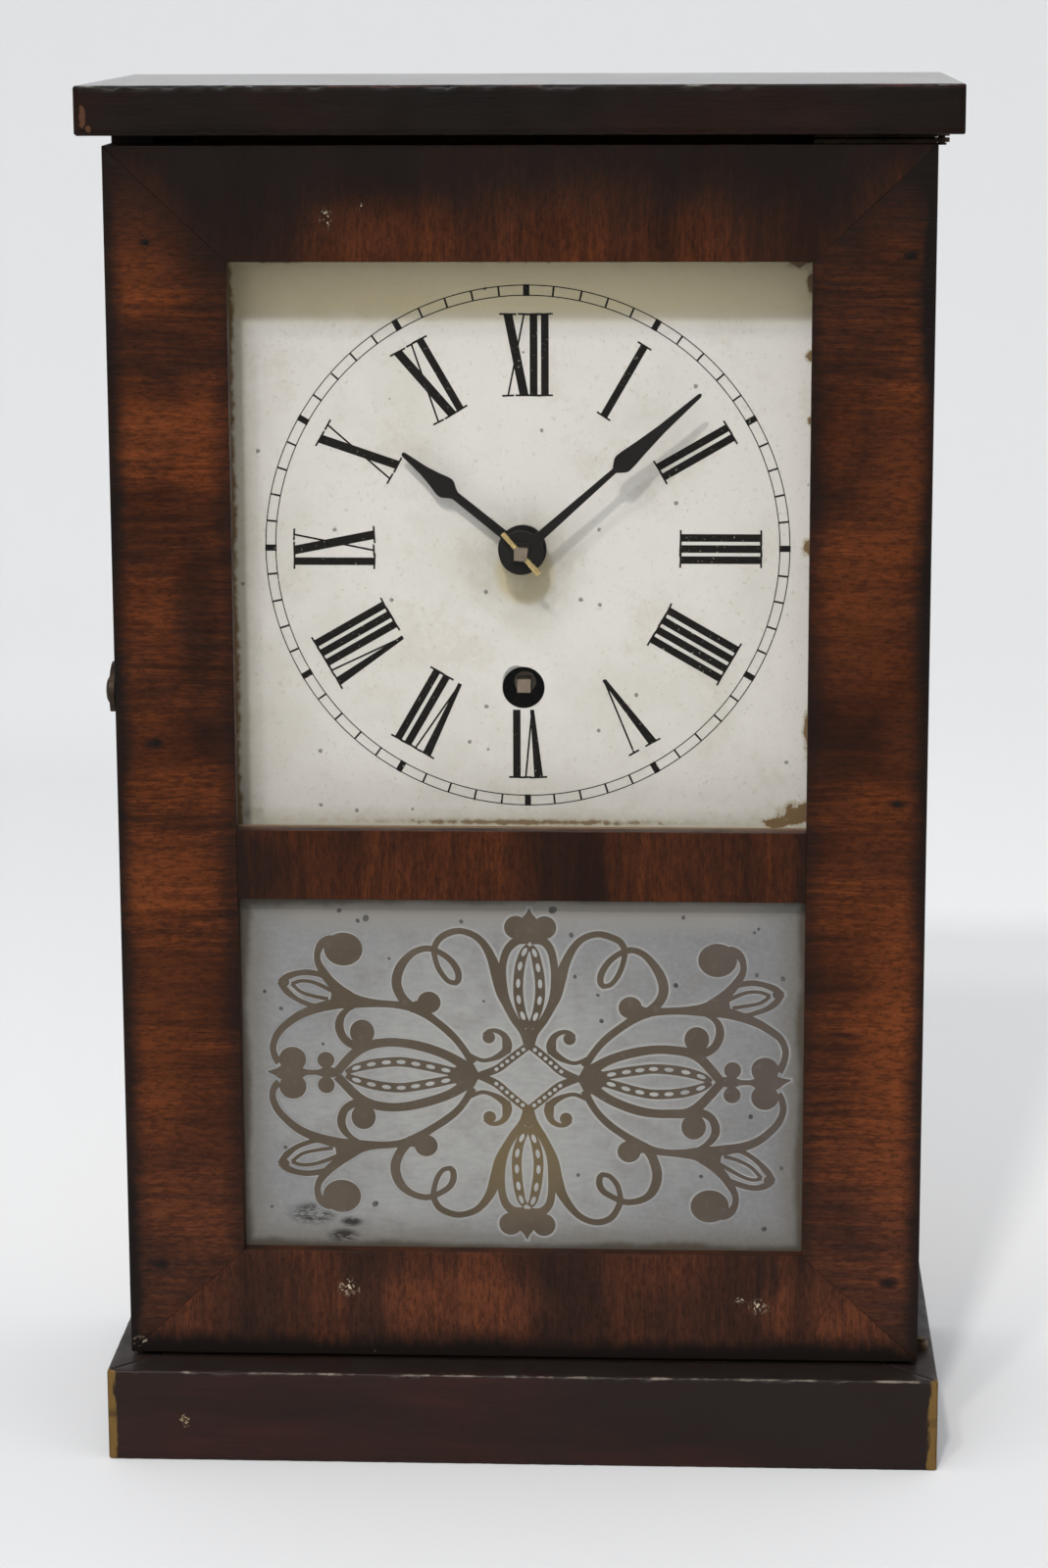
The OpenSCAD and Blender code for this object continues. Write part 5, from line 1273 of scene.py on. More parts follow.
def build_figures():
    """Roman figures round the dial, as thin painted strokes with hairline serifs."""
    dial = settings("clock_dial")
    words = ("XII", "I", "II", "III", "IIII", "V", "VI", "VII", "VIII", "IX", "X", "XI")
    seed = settings("clock_studio").seed

    def build(bm):
        for hour, word in enumerate(words):
            angle = math.radians(30 * hour)
            out = Vector((math.sin(angle), math.cos(angle)))
            right = Vector((math.cos(angle), -math.sin(angle)))

            def place(x, r, out=out, right=right):
                point = right * x + out * r
                return (PAINT_CENTRE.x + point.x, PAINT_CENTRE.z + point.y)

            for number, (kind, foot, head) in enumerate(figure_strokes(word)):
                wobble = noise.noise(Vector((seed, hour * 1.7, number * 2.3))) * 0.00018
                half = (dial.thick if kind == THICK else dial.thin) / 2
                if kind == THICK and foot != head:
                    half *= 1.18
                top = [(head - half, dial.figure_high), (head + half, dial.figure_high)]
                low = (HOLE_EDGE if hour == 6 else dial.figure_low) + wobble
                tip = half * (0.45 if kind == THICK and foot != head and "V" in word else 1.0)
                bottom = [(foot + tip, low), (foot - tip, low)]
                lift = dial.paint_build * (1.0 + 0.12 * number)
                slab(bm, [place(x, r) for x, r in top + bottom], DIAL_Y - lift, DIAL_Y)
                for x, r in ((foot, low), (head, dial.figure_high)):
                    slanted = kind == THIN or foot != head
                    tip_of_v = slanted and word.strip("I") == "V" and x == foot
                    if tip_of_v or (hour == 6 and r == low):
                        continue
                    reach = half + (0.0009 if kind == THICK else 0.0011)
                    slant = noise.noise(Vector((hour * 3.1, number * 1.9, r * 100))) * 0.00025
                    bar = [(x - reach, r - dial.thin / 2 - slant), (x + reach, r - dial.thin / 2 + slant),
                           (x + reach, r + dial.thin / 2 + slant), (x - reach, r + dial.thin / 2 - slant)]
                    slab(bm, [place(*point) for point in bar], DIAL_Y - lift * 1.25, DIAL_Y)

    built("dial_figures", build, "figures", "case")


def build_track():
    """Minute track: two hairline circles, a tick a minute and a block every five."""
    dial = settings("clock_dial")
    middle = (dial.track_inner + dial.track_outer) / 2

    def build(bm):
        for radius in (dial.track_inner, dial.track_outer):
            ring(bm, PAINT_CENTRE, radius - dial.track_line / 2, radius + dial.track_line / 2,
                 DIAL_Y - dial.paint_build, DIAL_Y)

    built("dial_track", build, "figures", "case")
    places = []
    for minute in range(60):
        angle = math.radians(6 * minute) + noise.noise(Vector((minute * 2.7, 0, 0))) * 0.006
        point = PAINT_CENTRE + Vector((math.sin(angle), 0, math.cos(angle))) * middle
        stretch = (3.3, 1.15, 1.15) if minute % 5 == 0 else (1.0, 1.1, 1.0)
        places.append((point - Vector((0, dial.paint_build * 0.5, 0)), angle, stretch))
    size = (0.00042, dial.track_outer - dial.track_inner, dial.paint_build)
    repeated("dial_ticks", "bar", places, size, "figures", "case")


def build_dial():
    coat_nodes("dial", "dial")
    build_figures()
    build_track()


def build_hands():
    """Hands with softened edges, and the bright taper pin."""
    metal = settings("clock_metal")
    for node, body in (("minute_hand", "minute"), ("hour_hand", "hour")):
        mesh = softened(node, metal.bevel)
        new_piece(node + "_softened", mesh, "hands", body, (node,))
    coat_nodes("pin_brass", "taper_pin")
    coat_nodes("brown_steel", "centre_arbor")


# Tablet ornament

def catmull(points, per_span):
    """Smooth curve through points of (x, z, width)."""
    padded = [points[0]] + list(points) + [points[-1]]
    curve = []
    for i in range(1, len(padded) - 2):
        a, b, c, d = (Vector(point) for point in padded[i - 1:i + 3])
        for step in range(per_span):
            t = step / per_span
            square = (2 * a - 5 * b + 4 * c - d) * t * t
            cube = (3 * b - a - 3 * c + d) * t * t * t
            curve.append(0.5 * (2 * b + (c - a) * t + square + cube))
    curve.append(Vector(points[-1]))
    return curve


# The ornament is drawn in its upper left quarter, in millimetres from the tablet's centre: (x, z, width)
AXIS = (1.5, -0.4)
STROKES = (
    ((-11.0, 2.4, 1.8), (-12.5, 4.9, 1.6), (-14.2, 7.3, 1.6), (-16.4, 9.7, 1.7), (-19.1, 12.0, 1.7),
     (-21.8, 13.9, 1.9), (-25.3, 15.4, 1.9), (-29.1, 15.9, 1.6), (-32.6, 16.1, 1.8), (-36.1, 16.4, 2.7),
     (-38.5, 16.8, 3.9), (-40.8, 17.3, 5.0), (-42.6, 17.6, 4.0)),
    ((-38.4, 17.6, 2.4), (-40.8, 19.2, 2.4), (-42.9, 21.3, 2.1), (-44.4, 23.5, 1.8), (-45.4, 25.6, 1.5),
     (-45.4, 27.8, 1.5), (-44.5, 29.6, 1.9), (-42.9, 30.5, 2.2), (-41.2, 30.2, 2.4)),
    ((-40.2, 16.2, 2.6), (-43.0, 15.6, 2.4), (-46.2, 14.7, 2.1), (-49.7, 13.2, 1.9), (-52.6, 11.1, 1.7),
     (-54.7, 8.8, 1.6), (-55.7, 6.1, 1.5), (-55.4, 3.8, 1.5), (-54.4, 2.2, 1.8)),
    ((-37.2, 15.4, 0.8), (-38.9, 14.6, 1.2), (-40.2, 13.2, 1.6), (-40.8, 11.3, 1.9), (-40.5, 9.3, 1.9),
     (-39.5, 7.6, 1.8), (-37.8, 6.5, 1.9), (-35.8, 6.2, 2.0)),
    ((-24.0, 14.9, 2.2), (-25.6, 16.2, 2.1), (-26.9, 17.8, 2.1), (-27.8, 20.0, 2.2), (-27.8, 22.2, 2.2),
     (-27.0, 24.5, 2.1), (-25.5, 26.6, 1.7), (-23.4, 28.2, 1.5), (-20.8, 28.8, 1.4), (-18.2, 27.9, 1.3),
     (-15.8, 26.1, 1.4), (-14.3, 23.8, 1.5), (-14.1, 21.8, 1.4), (-14.9, 20.8, 1.2)),
    ((-14.5, 20.9, 1.1), (-16.4, 21.4, 1.1), (-18.2, 23.7, 1.2), (-19.2, 26.3, 1.2), (-19.4, 28.8, 1.4),
     (-18.2, 31.1, 1.5), (-15.8, 32.5, 1.5), (-13.2, 32.8, 1.4), (-10.3, 31.7, 1.5), (-8.2, 29.6, 1.7),
     (-6.7, 26.7, 2.1), (-5.6, 23.2, 2.6), (-4.5, 19.1, 2.6), (-3.3, 16.0, 2.0), (-1.7, 12.7, 1.7),
     (0.3, 9.6, 1.6), (1.5, 6.6, 2.2)),
    ((-24.8, 15.2, 2.2), (-22.6, 15.5, 3.0), (-20.8, 16.2, 3.4)),
    ((-12.0, 4.4, 1.1), (-9.1, 3.2, 0.9), (-7.0, 3.4, 1.0), (-5.0, 4.3, 1.5), (-3.4, 5.6, 1.8)),
    ((-3.6, 5.0, 1.9), (-3.3, 6.8, 2.2), (-3.9, 8.8, 1.5), (-5.4, 9.9, 1.1), (-7.2, 10.0, 0.9),
     (-8.5, 9.0, 0.9)),
    ((1.6, 6.8, 1.7), (-0.6, 5.1, 1.8), (-3.0, 3.2, 1.8), (-5.6, 1.2, 1.8), (-9.4, -0.3, 1.6)),
    ((-41.4, 0.2, 2.0), (-39.1, 2.9, 2.1), (-36.7, 5.1, 2.2), (-33.8, 6.5, 2.1), (-30.2, 7.1, 2.0),
     (-26.7, 7.0, 2.0), (-23.2, 6.4, 2.1), (-19.7, 5.4, 2.1), (-16.1, 3.9, 2.1), (-13.0, 2.0, 2.4)),
    ((1.5, 31.2, 2.4), (-0.9, 30.8, 2.0), (-3.0, 28.9, 1.8), (-4.1, 26.0, 1.7), (-4.3, 22.6, 1.7),
     (-3.8, 19.0, 1.5), (-2.9, 16.0, 1.3), (-1.4, 13.0, 1.2), (0.5, 10.4, 1.2)),
    ((-43.6, 22.2, 1.3), (-45.6, 22.8, 1.3), (-48.0, 23.1, 1.3), (-50.3, 22.8, 1.3), (-52.4, 22.0, 1.5),
     (-54.2, 20.9, 0.8)),
    ((-54.2, 20.9, 0.8), (-52.6, 18.9, 1.5), (-50.8, 17.3, 1.2), (-48.8, 16.2, 1.1), (-46.4, 15.4, 1.1),
     (-43.5, 15.6, 1.2)),
    ((-41.5, 18.4, 1.0), (-44.3, 19.9, 0.9), (-46.8, 20.9, 0.8), (-49.3, 21.1, 0.8), (-51.3, 20.4, 0.9)),
    ((-51.3, 20.4, 0.9), (-49.3, 18.6, 0.8), (-46.7, 17.7, 0.8), (-43.2, 17.0, 0.9)),
)
# Bands that carry light dashes: the side pod's, the upright pod's and the lozenge's
POD_BAND = (
    (-39.4, 0.0, 1.2), (-37.3, 1.1, 1.9), (-33.8, 2.0, 2.2), (-30.2, 2.5, 2.2), (-26.7, 2.6, 2.2),
    (-23.2, 2.1, 2.2), (-19.7, 1.4, 2.2), (-16.1, 0.6, 2.0), (-13.0, 0.0, 2.0),
)
UPRIGHT_BAND = (
    (1.6, 29.6, 1.4), (0.5, 28.0, 1.9), (-0.4, 24.8, 2.2), (-0.8, 21.0, 2.2), (-0.7, 17.4, 2.2),
    (0.1, 13.8, 1.9), (1.4, 11.0, 1.4),
)
LOZENGE_DOTS = ((0.9, 6.2, 0.0), (-6.3, 0.7, 0.0))
# Balls: (x, z, half width, half height)
BALLS = (
    (-39.7, 28.5, 4.3, 3.8), (-35.7, 9.4, 2.75, 2.9), (-20.7, 16.4, 2.6, 2.5), (-7.4, 8.5, 1.4, 1.4),
    (-43.9, 2.9, 1.9, 1.9), (-51.4, 3.0, 3.05, 2.9), (-1.3, 33.8, 2.6, 2.6), (-53.0, 20.8, 1.2, 1.1),
)
# Strokes on the two axes: stem and solid end of a side pod, then the spire and foot of an upright one
LEVEL_STROKES = (
    ((-41.0, 0.1, 1.8), (-43.9, 0.0, 2.6), (-45.8, 0.0, 1.3), (-48.2, 0.0, 1.3), (-50.0, -0.1, 3.0),
     (-53.5, -0.1, 3.4), (-55.3, 0.0, 1.6), (-57.0, 0.1, 0.2)),
    ((-16.6, -0.4, 1.2), (-14.8, -0.4, 4.0), (-12.9, -0.4, 6.3), (-11.6, -0.4, 7.4), (-10.7, -0.4, 5.0),
     (-9.6, -0.4, 1.2), (-8.2, -0.4, 1.2)),
)
UPRIGHT_STROKES = (
    ((1.65, 30.4, 3.4), (1.65, 33.2, 5.0), (1.65, 35.8, 3.2), (1.65, 37.0, 1.3), (1.65, 38.1, 0.2)),
    ((1.6, 11.0, 0.8), (1.6, 9.0, 2.8), (1.6, 6.4, 2.2)),
)
# Where the same mark lies in the quarters: upper left, lower left, upper right, lower right
MARKS = (
    ((-39.7, 28.5), (-40.7, -28.8), (43.4, 26.6), (42.0, -30.3)),
    ((-54.2, 20.9), (-54.8, -21.4), (58.0, 19.0), (56.4, -24.2)),
    ((-40.0, 17.0), (-39.3, -17.6), (43.6, 15.7), (41.8, -18.5)),
    ((-55.7, 6.1), (-56.0, -5.9), (58.6, 6.0), (58.2, -7.9)),
    ((-35.7, 9.4), (-35.6, -10.2), (38.9, 8.4), (38.3, -11.8)),
    ((-20.7, 16.4), (-21.6, -16.8), (24.1, 15.6), (23.9, -17.7)),
    ((-27.8, 22.0), (-28.5, -23.0), (31.4, 20.8), (30.1, -24.2)),
    ((-19.4, 28.2), (-20.0, -28.3), (22.8, 28.2), (21.9, -28.9)),
    ((-14.7, 20.8), (-16.2, -21.9), (18.1, 20.3), (17.9, -23.0)),
    ((-14.5, 32.8), (-15.0, -32.9), (17.6, 32.3), (17.3, -34.3)),
    ((-5.6, 23.2), (-6.1, -24.5), (8.6, 22.2), (7.9, -25.0)),
    ((-7.4, 8.5), (-7.3, -10.0), (10.6, 8.3), (9.8, -10.2)),
    ((-28.5, 7.1), (-28.5, -7.9), (30.5, 6.0), (30.8, -8.8)),
    ((-41.0, 0.1), (-41.0, -0.7), (43.8, -1.2), (43.8, -1.6)),
    ((-12.0, 0.0), (-12.0, -0.8), (14.9, -0.6), (14.9, -1.2)),
    ((1.6, 6.8), (1.4, -8.2), (1.6, 6.8), (1.4, -8.2)),
    ((-1.3, 33.8), (-2.7, -34.9), (5.1, 33.8), (4.8, -35.1)),
    ((1.65, 37.0), (1.0, -37.4), (1.65, 37.0), (1.0, -37.4)),
    ((1.65, 21.0), (1.2, -22.0), (1.65, 21.0), (1.2, -22.0)),
    ((-51.4, 3.0), (-51.4, -3.3), (54.1, 1.5), (54.1, -4.8)),
    ((-43.9, 2.9), (-43.9, -2.9), (46.9, 1.4), (46.8, -4.3)),
)
# Each stroke lies a hair above the last, so that no two faces share a plane
LAYER = 0.0000003


def drifted(x, z, quarter):
    """A point of the drawn quarter in another one: mirrored, then moved as the marks near it are."""
    def mirrored(x, z):
        return Vector((2 * AXIS[0] - x if quarter > 1 else x, 2 * AXIS[1] - z if quarter % 2 else z))

    drift, total = Vector((0, 0)), 0.0
    for marks in MARKS:
        weight = 1 / ((x - marks[0][0]) ** 2 + (z - marks[0][1]) ** 2 + 0.5) ** 1.5
        drift += (Vector(marks[quarter]) - mirrored(*marks[0])) * weight
        total += weight
    return mirrored(x, z) + drift / total


def moved(stroke, quarter):
    return [(*drifted(x, z, quarter), width) for x, z, width in stroke]


def ornament_parts():
    """Every stroke and ball of the whole ornament."""
    drawn = [catmull(stroke, 6) for stroke in (*STROKES, POD_BAND, UPRIGHT_BAND)]
    strokes, balls = [], []
    for quarter in range(4):
        strokes += [moved(stroke, quarter) for stroke in drawn]
        balls += [(*drifted(x, z, quarter), rx, rz) for x, z, rx, rz in BALLS]
    for quarter in (0, 2):
        strokes += [moved(catmull(stroke, 4), quarter) for stroke in LEVEL_STROKES]
    for quarter in (0, 1):
        strokes += [moved(catmull(stroke, 4), quarter) for stroke in UPRIGHT_STROKES]
    return strokes, balls


def ribbon(bm, stroke, grow, y_front, y_back):
    """A stroke of varying width as a closed strip; grow widens it on each side, in millimetres."""
    count = len(stroke)
    rows = []
    for i, (x, z, width) in enumerate(stroke):
        before, after = stroke[max(i - 1, 0)], stroke[min(i + 1, count - 1)]
        along = Vector((after[0] - before[0], after[1] - before[1])).normalized()
        side = Vector((-along.y, along.x)) * (width / 2 + grow)
        cap = along * (grow if i == count - 1 else -grow if i == 0 else 0.0)
        row = []
        for y in (y_front, y_back):
            for sign in (-1, 1):
                row.append(bm.verts.new((TABLET_CENTRE.x + (x + cap.x + side.x * sign) * MM, y,
                                         TABLET_CENTRE.z + (z + cap.y + side.y * sign) * MM)))
        rows.append(row)
    for a, b in zip(rows, rows[1:]):
        bm.faces.new((a[0], a[1], b[1], b[0]))
        bm.faces.new((a[2], b[2], b[3], a[3]))
        bm.faces.new((a[0], b[0], b[2], a[2]))
        bm.faces.new((a[1], a[3], b[3], b[1]))
    bm.faces.new((rows[0][0], rows[0][2], rows[0][3], rows[0][1]))
    bm.faces.new((rows[-1][0], rows[-1][1], rows[-1][3], rows[-1][2]))


def disc_outline(x, z, rx, rz, sides=28):
    return [(TABLET_CENTRE.x + (x + rx * math.cos(2 * math.pi * i / sides)) * MM,
             TABLET_CENTRE.z + (z + rz * math.sin(2 * math.pi * i / sides)) * MM) for i in range(sides)]


# Fly specks on the tablet: (x, z, width), in millimetres from its centre
SPECKS = (
    (-40.5, 37.3, 1.1), (-34.6, 35.6, 1.6), (-36.4, 35.0, 1.0), (-13.4, 35.0, 1.0), (-29.5, 26.4, 0.7),
    (-57.4, 18.6, 0.9), (-53.8, 14.7, 1.0), (-44.5, 6.6, 0.8), (-8.5, 16.8, 0.6), (-53.3, -17.6, 1.0),
    (-33.2, -30.6, 1.5), (-56.6, -31.5, 0.8), (6.9, 37.8, 1.9), (11.0, 32.1, 1.2), (11.8, 22.6, 1.0),
    (16.9, 18.4, 0.9), (17.7, 12.5, 1.1), (34.2, 20.8, 1.2), (52.1, 23.3, 1.1), (57.9, 22.5, 1.2),
    (35.8, 36.3, 1.0), (51.5, 33.0, 0.8), (52.4, 33.8, 0.8), (51.0, -9.3, 1.2), (12.5, -23.3, 0.9),
    (40.0, -23.3, 1.0), (58.0, -21.2, 1.0), (54.2, -35.5, 1.3),
)


def build_specks():
    """Fly specks on the tablet, flat and dull."""
    places = [((TABLET_CENTRE.x + x * MM, GLASS_Y - 0.00001, TABLET_CENTRE.z + z * MM), 0.4 * x,
               (width, 1, width)) for x, z, width in SPECKS]
    repeated("tablet_specks", "head", places, (0.001, 0.00085, 0.00004), "specks", "door")


def build_ornament():
    """Scroll ornament of the tablet, the pale frost round it, and the light dashes in its bands."""
    tablet = settings("clock_tablet")
    strokes, balls = ornament_parts()
    layers = (("tablet_glow", "glow", tablet.halo_width * 2.2 / MM, tablet.build * 0.1),
              ("tablet_halo", "halo", tablet.halo_width / MM, tablet.build * 0.4),
              ("tablet_ornament", "ornament", 0.0, tablet.build))
    for name, finish_name, grow, lift in layers:
        def build(bm, grow=grow, lift=lift):
            for number, stroke in enumerate(strokes):
                ribbon(bm, stroke, grow, GLASS_Y - lift - number * LAYER, GLASS_Y)
            for number, (x, z, rx, rz) in enumerate(balls):
                outline = disc_outline(x, z, rx + grow, rz + grow)
                slab(bm, outline, GLASS_Y - lift - (len(strokes) + number) * LAYER, GLASS_Y)

        built(name, build, finish_name, "door")
    build_dashes()


def build_dashes():
    """Rows of light dashes along the pods' inner bands and dots along the central lozenge."""
    tablet = settings("clock_tablet")
    places = []

    def row(points, count, size):
        """Dashes spaced along a curve in every quarter, each turned to follow it."""
        for quarter in range(4):
            curve = [Vector(drifted(point[0], point[1], quarter)) for point in points]
            for i in range(count):
                spot = (i + 0.5) / count * (len(curve) - 1)
                k = min(int(spot), len(curve) - 2)
                here = curve[k].lerp(curve[k + 1], spot - k)
                way = curve[k + 1] - curve[k]
                point = (TABLET_CENTRE.x + here[0] * MM, GLASS_Y - tablet.build - 160 * LAYER,
                         TABLET_CENTRE.z + here[1] * MM)
                places.append((point, -math.atan2(way[1], way[0]), size))

    row(catmull(UPRIGHT_BAND, 5)[2:-2], 5, (2.1, 0.5, 0.95))
    row(catmull(POD_BAND, 5)[3:-4], 7, (2.1, 0.5, 0.95))
    row([Vector(dot) for dot in LOZENGE_DOTS], 6, (0.95, 0.5, 0.85))
    repeated("tablet_dashes", "head", places, (0.001, 0.001, 0.0001), "halo", "door")


# Fixings

def build_brads():
    """Brad heads in the door's face, sunk in small dark dents."""
    places = [((x * MM, FACE_Y + BRAD_SUNK, DOOR_LOW.z + z * MM), 0.0, (1.0, 1.0, 0.8)) for x, z in BRADS]
    repeated("door_brads", "head", places, (0.0017, 0.0017, 0.00022), "rusted", "door")


def build_back_nails():
    """Nails that hold the backboard in its rabbets."""
    low, high = span("backboard")
    places = []
    for x in (low.x + 0.0022, high.x - 0.0022):
        for part in (0.06, 0.35, 0.65, 0.94):
            places.append(((x, high.y - NAIL_SUNK, low.z + (high.z - low.z) * part), 0.0, (1, 1, 1)))
    repeated("backboard_nails", "head", places, (0.0026, 0.0026, 0.00014), "rusted", "case")


def build_hinges():
    coat_nodes("old_brass", "hinge_plate_bottom", "hinge_leaf_bottom")
    coat_nodes("black_brass", "hinge_plate_top", "hinge_leaf_top", "catch_stud", "catch_hook")
    coat_nodes("steel", "hook_screw")


def build_movement():
    coat_nodes("plate", "front_plate")
    coat_nodes("brass", "back_plate", "pillars", "pillar_nuts", "suspension_cock", "centre_wheel",
               "cannon_pinion", "hour_wheel", "minute_wheel", "great_wheel", "third_wheel", "escape_wheel")
    coat_nodes("steel", "movement_screws", "minute_stud", "mainspring", "click", "ratchet_wheel", "verge")
    coat_nodes("brown_steel", "winding_arbor")


def build_pendulum():
    coat_nodes("steel", "suspension_spring")
    coat_nodes("brass", "pendulum_rod", "pendulum_bob", "rating_nut")


# Studio

def build_floor():
    """Pale floor that turns up into a backdrop, with painted light behind the clock; its front part is there
    for the camera's rays alone.
    """
    studio = settings("clock_studio")
    bend = [(BEND_START + BEND_RADIUS * math.sin(a), BEND_RADIUS - BEND_RADIUS * math.cos(a))
            for a in (math.radians(9 * i) for i in range(11))]
    profile = [(FLOOR_FRONT, 0.0), (FLOOR_CLEAR, 0.0)] + bend + [(BEND_START + BEND_RADIUS, BACKDROP_TOP)]
    mesh = bpy.data.meshes.new("floor")
    verts = [(x, y, z) for y, z in profile for x in (-FLOOR_HALF, FLOOR_HALF)]
    faces = [(2 * i, 2 * i + 1, 2 * i + 3, 2 * i + 2) for i in range(len(profile) - 1)]
    mesh.from_pydata(verts, [], faces)
    mesh.polygons.foreach_set("use_smooth", [True] * len(faces))
    floor = bpy.data.objects.new("floor", mesh)
    bpy.context.scene.collection.objects.link(floor)
    finish = Finish("Floor", specular=0.1)
    w = finish.w
    tone = finish.noise(3.0, 2.0)
    x, y, _ = w.split(finish.place)
    # Painted light: the floor behind the clock is lifted towards the backdrop's colour, about half as much
    # on the left, against the clock's shadow
    lift = w.times(w.ramp(y, -0.16, 0.16, 0.95), w.step(x, -0.16, 0.12, 0.54, 1.0))
    rise = w.most(lift, w.step(y, 0.45, 0.95))
    finish.paint(scaled(studio.floor, 0.93), (rise, studio.backdrop),
                 (w.times(tone, 0.05), scaled(studio.floor, 0.9)))
    finish.rough(0.9)
    unseen = w.minus(1.0, w.node("ShaderNodeLightPath").outputs["Is Camera Ray"])
    finish.let_through(w.times(unseen, w.math("LESS_THAN", y, FLOOR_CLEAR)), (1.0, 1.0, 1.0))
    mesh.materials.append(finish.material)
    floor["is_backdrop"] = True


def build_world():
    """Soft room light, dim behind the camera, so that polish and glass stay clear."""
    studio = settings("clock_studio")
    world = bpy.data.worlds.new("Room")
    bpy.context.scene.world = world
    world.use_nodes = True
    w = Wires(world.node_tree)
    background = next(node for node in world.node_tree.nodes if node.type == "BACKGROUND")
    towards = w.node("ShaderNodeTexCoord").outputs["Generated"]
    frontal = w.times(w.split(w.vector("NORMALIZE", towards))[1], -1.0)
    w.feed(background.inputs["Color"], (0.97, 0.985, 1.0))
    room = w.step(frontal, 0.45, 0.85, studio.world, studio.world * studio.front)
    seen = w.node("ShaderNodeLightPath").outputs["Is Camera Ray"]
    w.feed(background.inputs["Strength"], w.plus(w.times(room, w.minus(1.0, seen)), w.times(seen, 0.78)))


def add_lamp(name, place, size, watts, tint):
    """A square area lamp aimed at the clock's middle."""
    data = bpy.data.lights.new(name, "AREA")
    data.shape = "SQUARE"
    data.size = size
    data.energy = watts
    data.color = tint
    lamp = bpy.data.objects.new(name, data)
    lamp.location = place
    lamp.rotation_euler = (LAMP_TARGET - Vector(place)).to_track_quat("-Z", "Y").to_euler()
    bpy.context.scene.collection.objects.link(lamp)


def build_lamps():
    """Key from the upper left front, a weaker lamp beside it and a broad fill."""
    studio = settings("clock_studio")
    warm, cool = (1.0, 0.985, 0.96), (0.93, 0.965, 1.0)

    def place(rise, turn):
        rise, turn = math.radians(rise), math.radians(turn)
        return LAMP_TARGET + LAMP_AWAY * Vector((-math.sin(turn) * math.cos(rise),
                                                 -math.cos(turn) * math.cos(rise), math.sin(rise)))

    add_lamp("key", place(41, 7), 0.085, studio.key, warm)
    add_lamp("window", place(46, 18), 0.09, studio.window, warm)
    add_lamp("fill", (-0.25, -1.45, 0.95), 1.3, studio.fill, cool)


def build_camera():
    studio = settings("clock_studio")
    data = bpy.data.cameras.new("camera")
    data.sensor_fit = "AUTO"
    data.sensor_width = 36
    data.lens = studio.lens
    data.dof.use_dof = False
    data.shift_x, data.shift_y = studio.camera_shift
    camera = bpy.data.objects.new("camera", data)
    camera.location = studio.camera_place
    camera.rotation_euler = studio.camera_turn
    bpy.context.scene.collection.objects.link(camera)
    bpy.context.scene.camera = camera
    bpy.context.scene.view_settings.view_transform = "Standard"


# Operators

class ClockOperator(bpy.types.Operator):
    """Base of the clock's operators: runs its builders in turn."""
    bl_options = {"REGISTER", "UNDO"}
    builders = ()

    def execute(self, context):
        for build in self.builders:
            build()
        return {"FINISHED"}


class CLOCK_OT_stage(ClockOperator):
    """Set up the floor, the lamps, the room light and the camera"""
    bl_idname = "clock.stage"
    bl_label = "Studio"
    builders = (build_floor, build_world, build_lamps, build_camera)


class CLOCK_OT_cornice(ClockOperator):
    """Make the worn cornice slab"""
    bl_idname = "clock.cornice"
    bl_label = "Cornice"
    builders = (build_cornice,)


class CLOCK_OT_plinth(ClockOperator):
    """Make the plinth's three worn strips"""
    bl_idname = "clock.plinth"
    bl_label = "Plinth"
    builders = (build_plinth,)


class CLOCK_OT_boards(ClockOperator):
    """Finish the side boards, the back and the inner woodwork"""
    bl_idname = "clock.boards"
    bl_label = "Boards"
    builders = (build_boards,)


class CLOCK_OT_door(ClockOperator):
    """Make the door's veneers and finish its core"""
    bl_idname = "clock.door"
    bl_label = "Door"
    builders = (build_veneers, build_door_core)


class CLOCK_OT_glass(ClockOperator):
    """Finish the two panes"""
    bl_idname = "clock.glass"
    bl_label = "Glass"
    builders = (build_glass,)


class CLOCK_OT_dial(ClockOperator):
    """Paint the dial, its figures and its minute track"""
    bl_idname = "clock.dial"
    bl_label = "Dial"
    builders = (build_dial,)


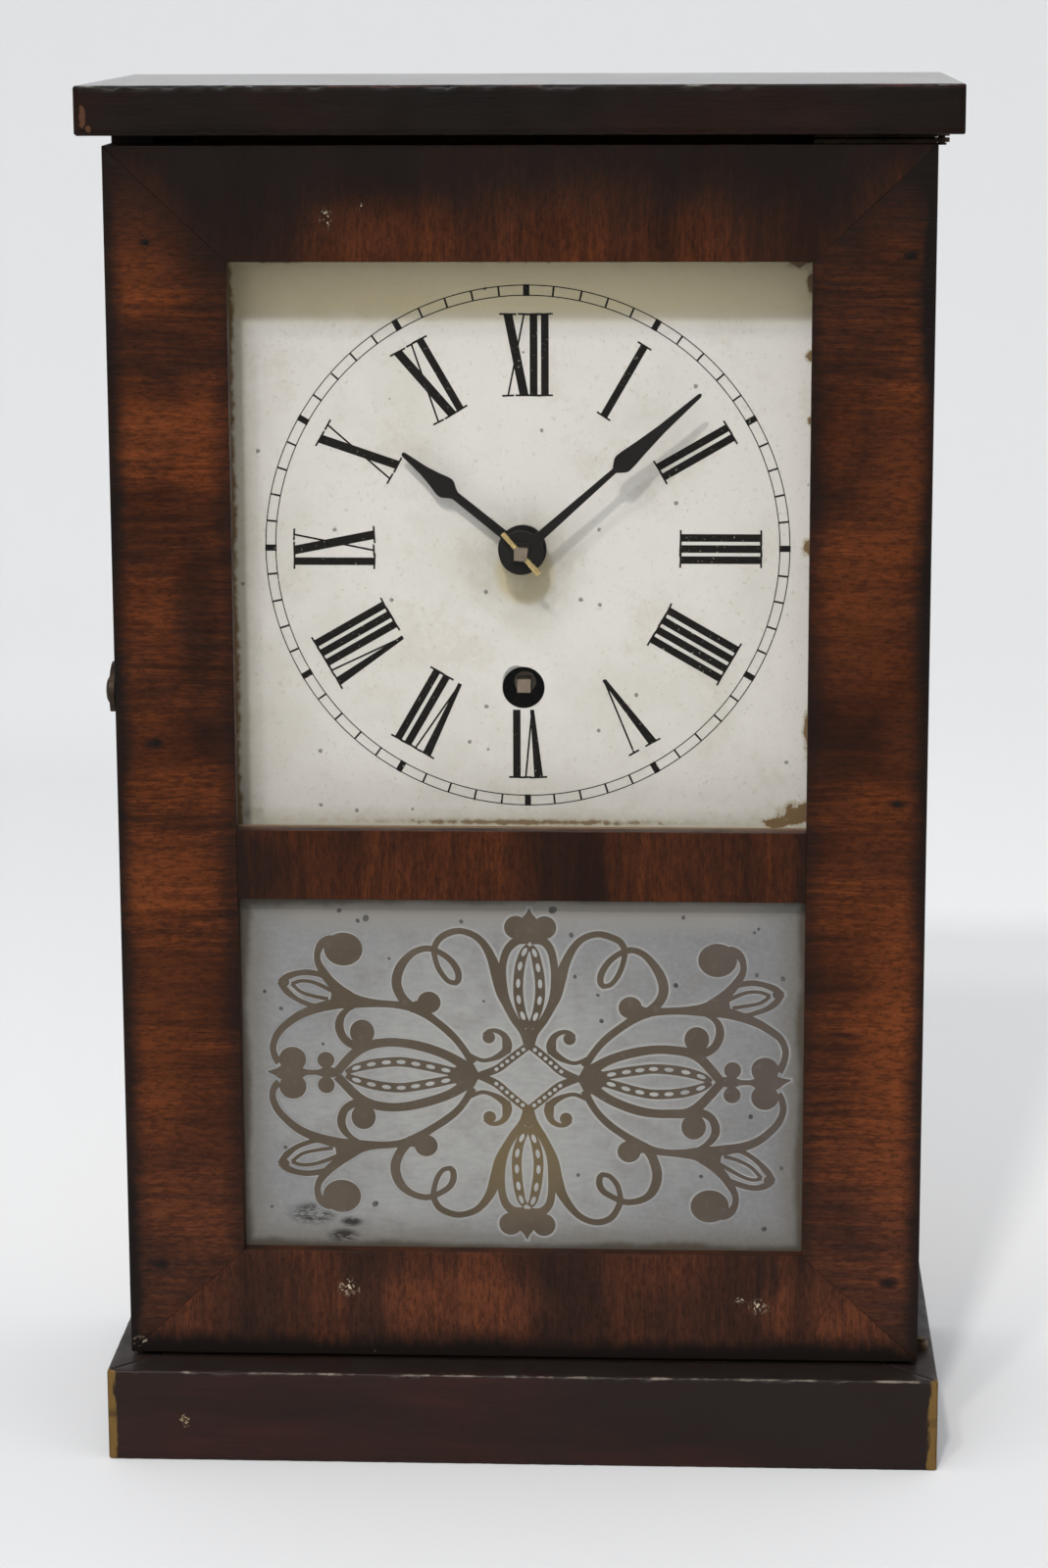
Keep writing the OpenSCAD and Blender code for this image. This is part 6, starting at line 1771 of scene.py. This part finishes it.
class CLOCK_OT_hands(ClockOperator):
    """Make the softened hands and their pin"""
    bl_idname = "clock.hands"
    bl_label = "Hands"
    builders = (build_hands,)


class CLOCK_OT_ornament(ClockOperator):
    """Draw the tablet's scroll ornament"""
    bl_idname = "clock.ornament"
    bl_label = "Ornament"
    builders = (build_ornament, build_specks)


class CLOCK_OT_fixings(ClockOperator):
    """Set the brads and nails"""
    bl_idname = "clock.fixings"
    bl_label = "Fixings"
    builders = (build_brads, build_back_nails)


class CLOCK_OT_metalwork(ClockOperator):
    """Finish the hinges, the catch, the movement and the pendulum"""
    bl_idname = "clock.metalwork"
    bl_label = "Metalwork"
    builders = (build_hinges, build_movement, build_pendulum)


OPERATORS = (
    CLOCK_OT_stage, CLOCK_OT_cornice, CLOCK_OT_plinth, CLOCK_OT_boards, CLOCK_OT_door, CLOCK_OT_glass,
    CLOCK_OT_dial, CLOCK_OT_hands, CLOCK_OT_ornament, CLOCK_OT_fixings, CLOCK_OT_metalwork)


class CLOCK_PT_panel(bpy.types.Panel):
    """Sizes, colours and operators of the clock"""
    bl_label = "Cottage Clock"
    bl_space_type = "VIEW_3D"
    bl_region_type = "UI"
    bl_category = "Clock"

    def draw(self, context):
        for operator in OPERATORS:
            self.layout.operator(operator.bl_idname)
        for name, group in SETTINGS.items():
            box = self.layout.box()
            box.label(text=group.__doc__)
            for item in group.__annotations__:
                box.prop(getattr(context.scene, name), item)


CLASSES = (*SETTINGS.values(), *OPERATORS, CLOCK_PT_panel)


def register():
    for item in CLASSES:
        bpy.utils.register_class(item)
    for name, group in SETTINGS.items():
        setattr(bpy.types.Scene, name, PointerProperty(type=group))


def unregister():
    for name in SETTINGS:
        delattr(bpy.types.Scene, name)
    for item in reversed(CLASSES):
        bpy.utils.unregister_class(item)


def corners():
    """The object's box as plain lists."""
    return [list(corner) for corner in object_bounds()]


def main():
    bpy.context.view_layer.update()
    register()
    for operator in OPERATORS:
        getattr(bpy.ops.clock, operator.bl_idname.split(".")[1])()


if __name__ == "__main__":
    main()
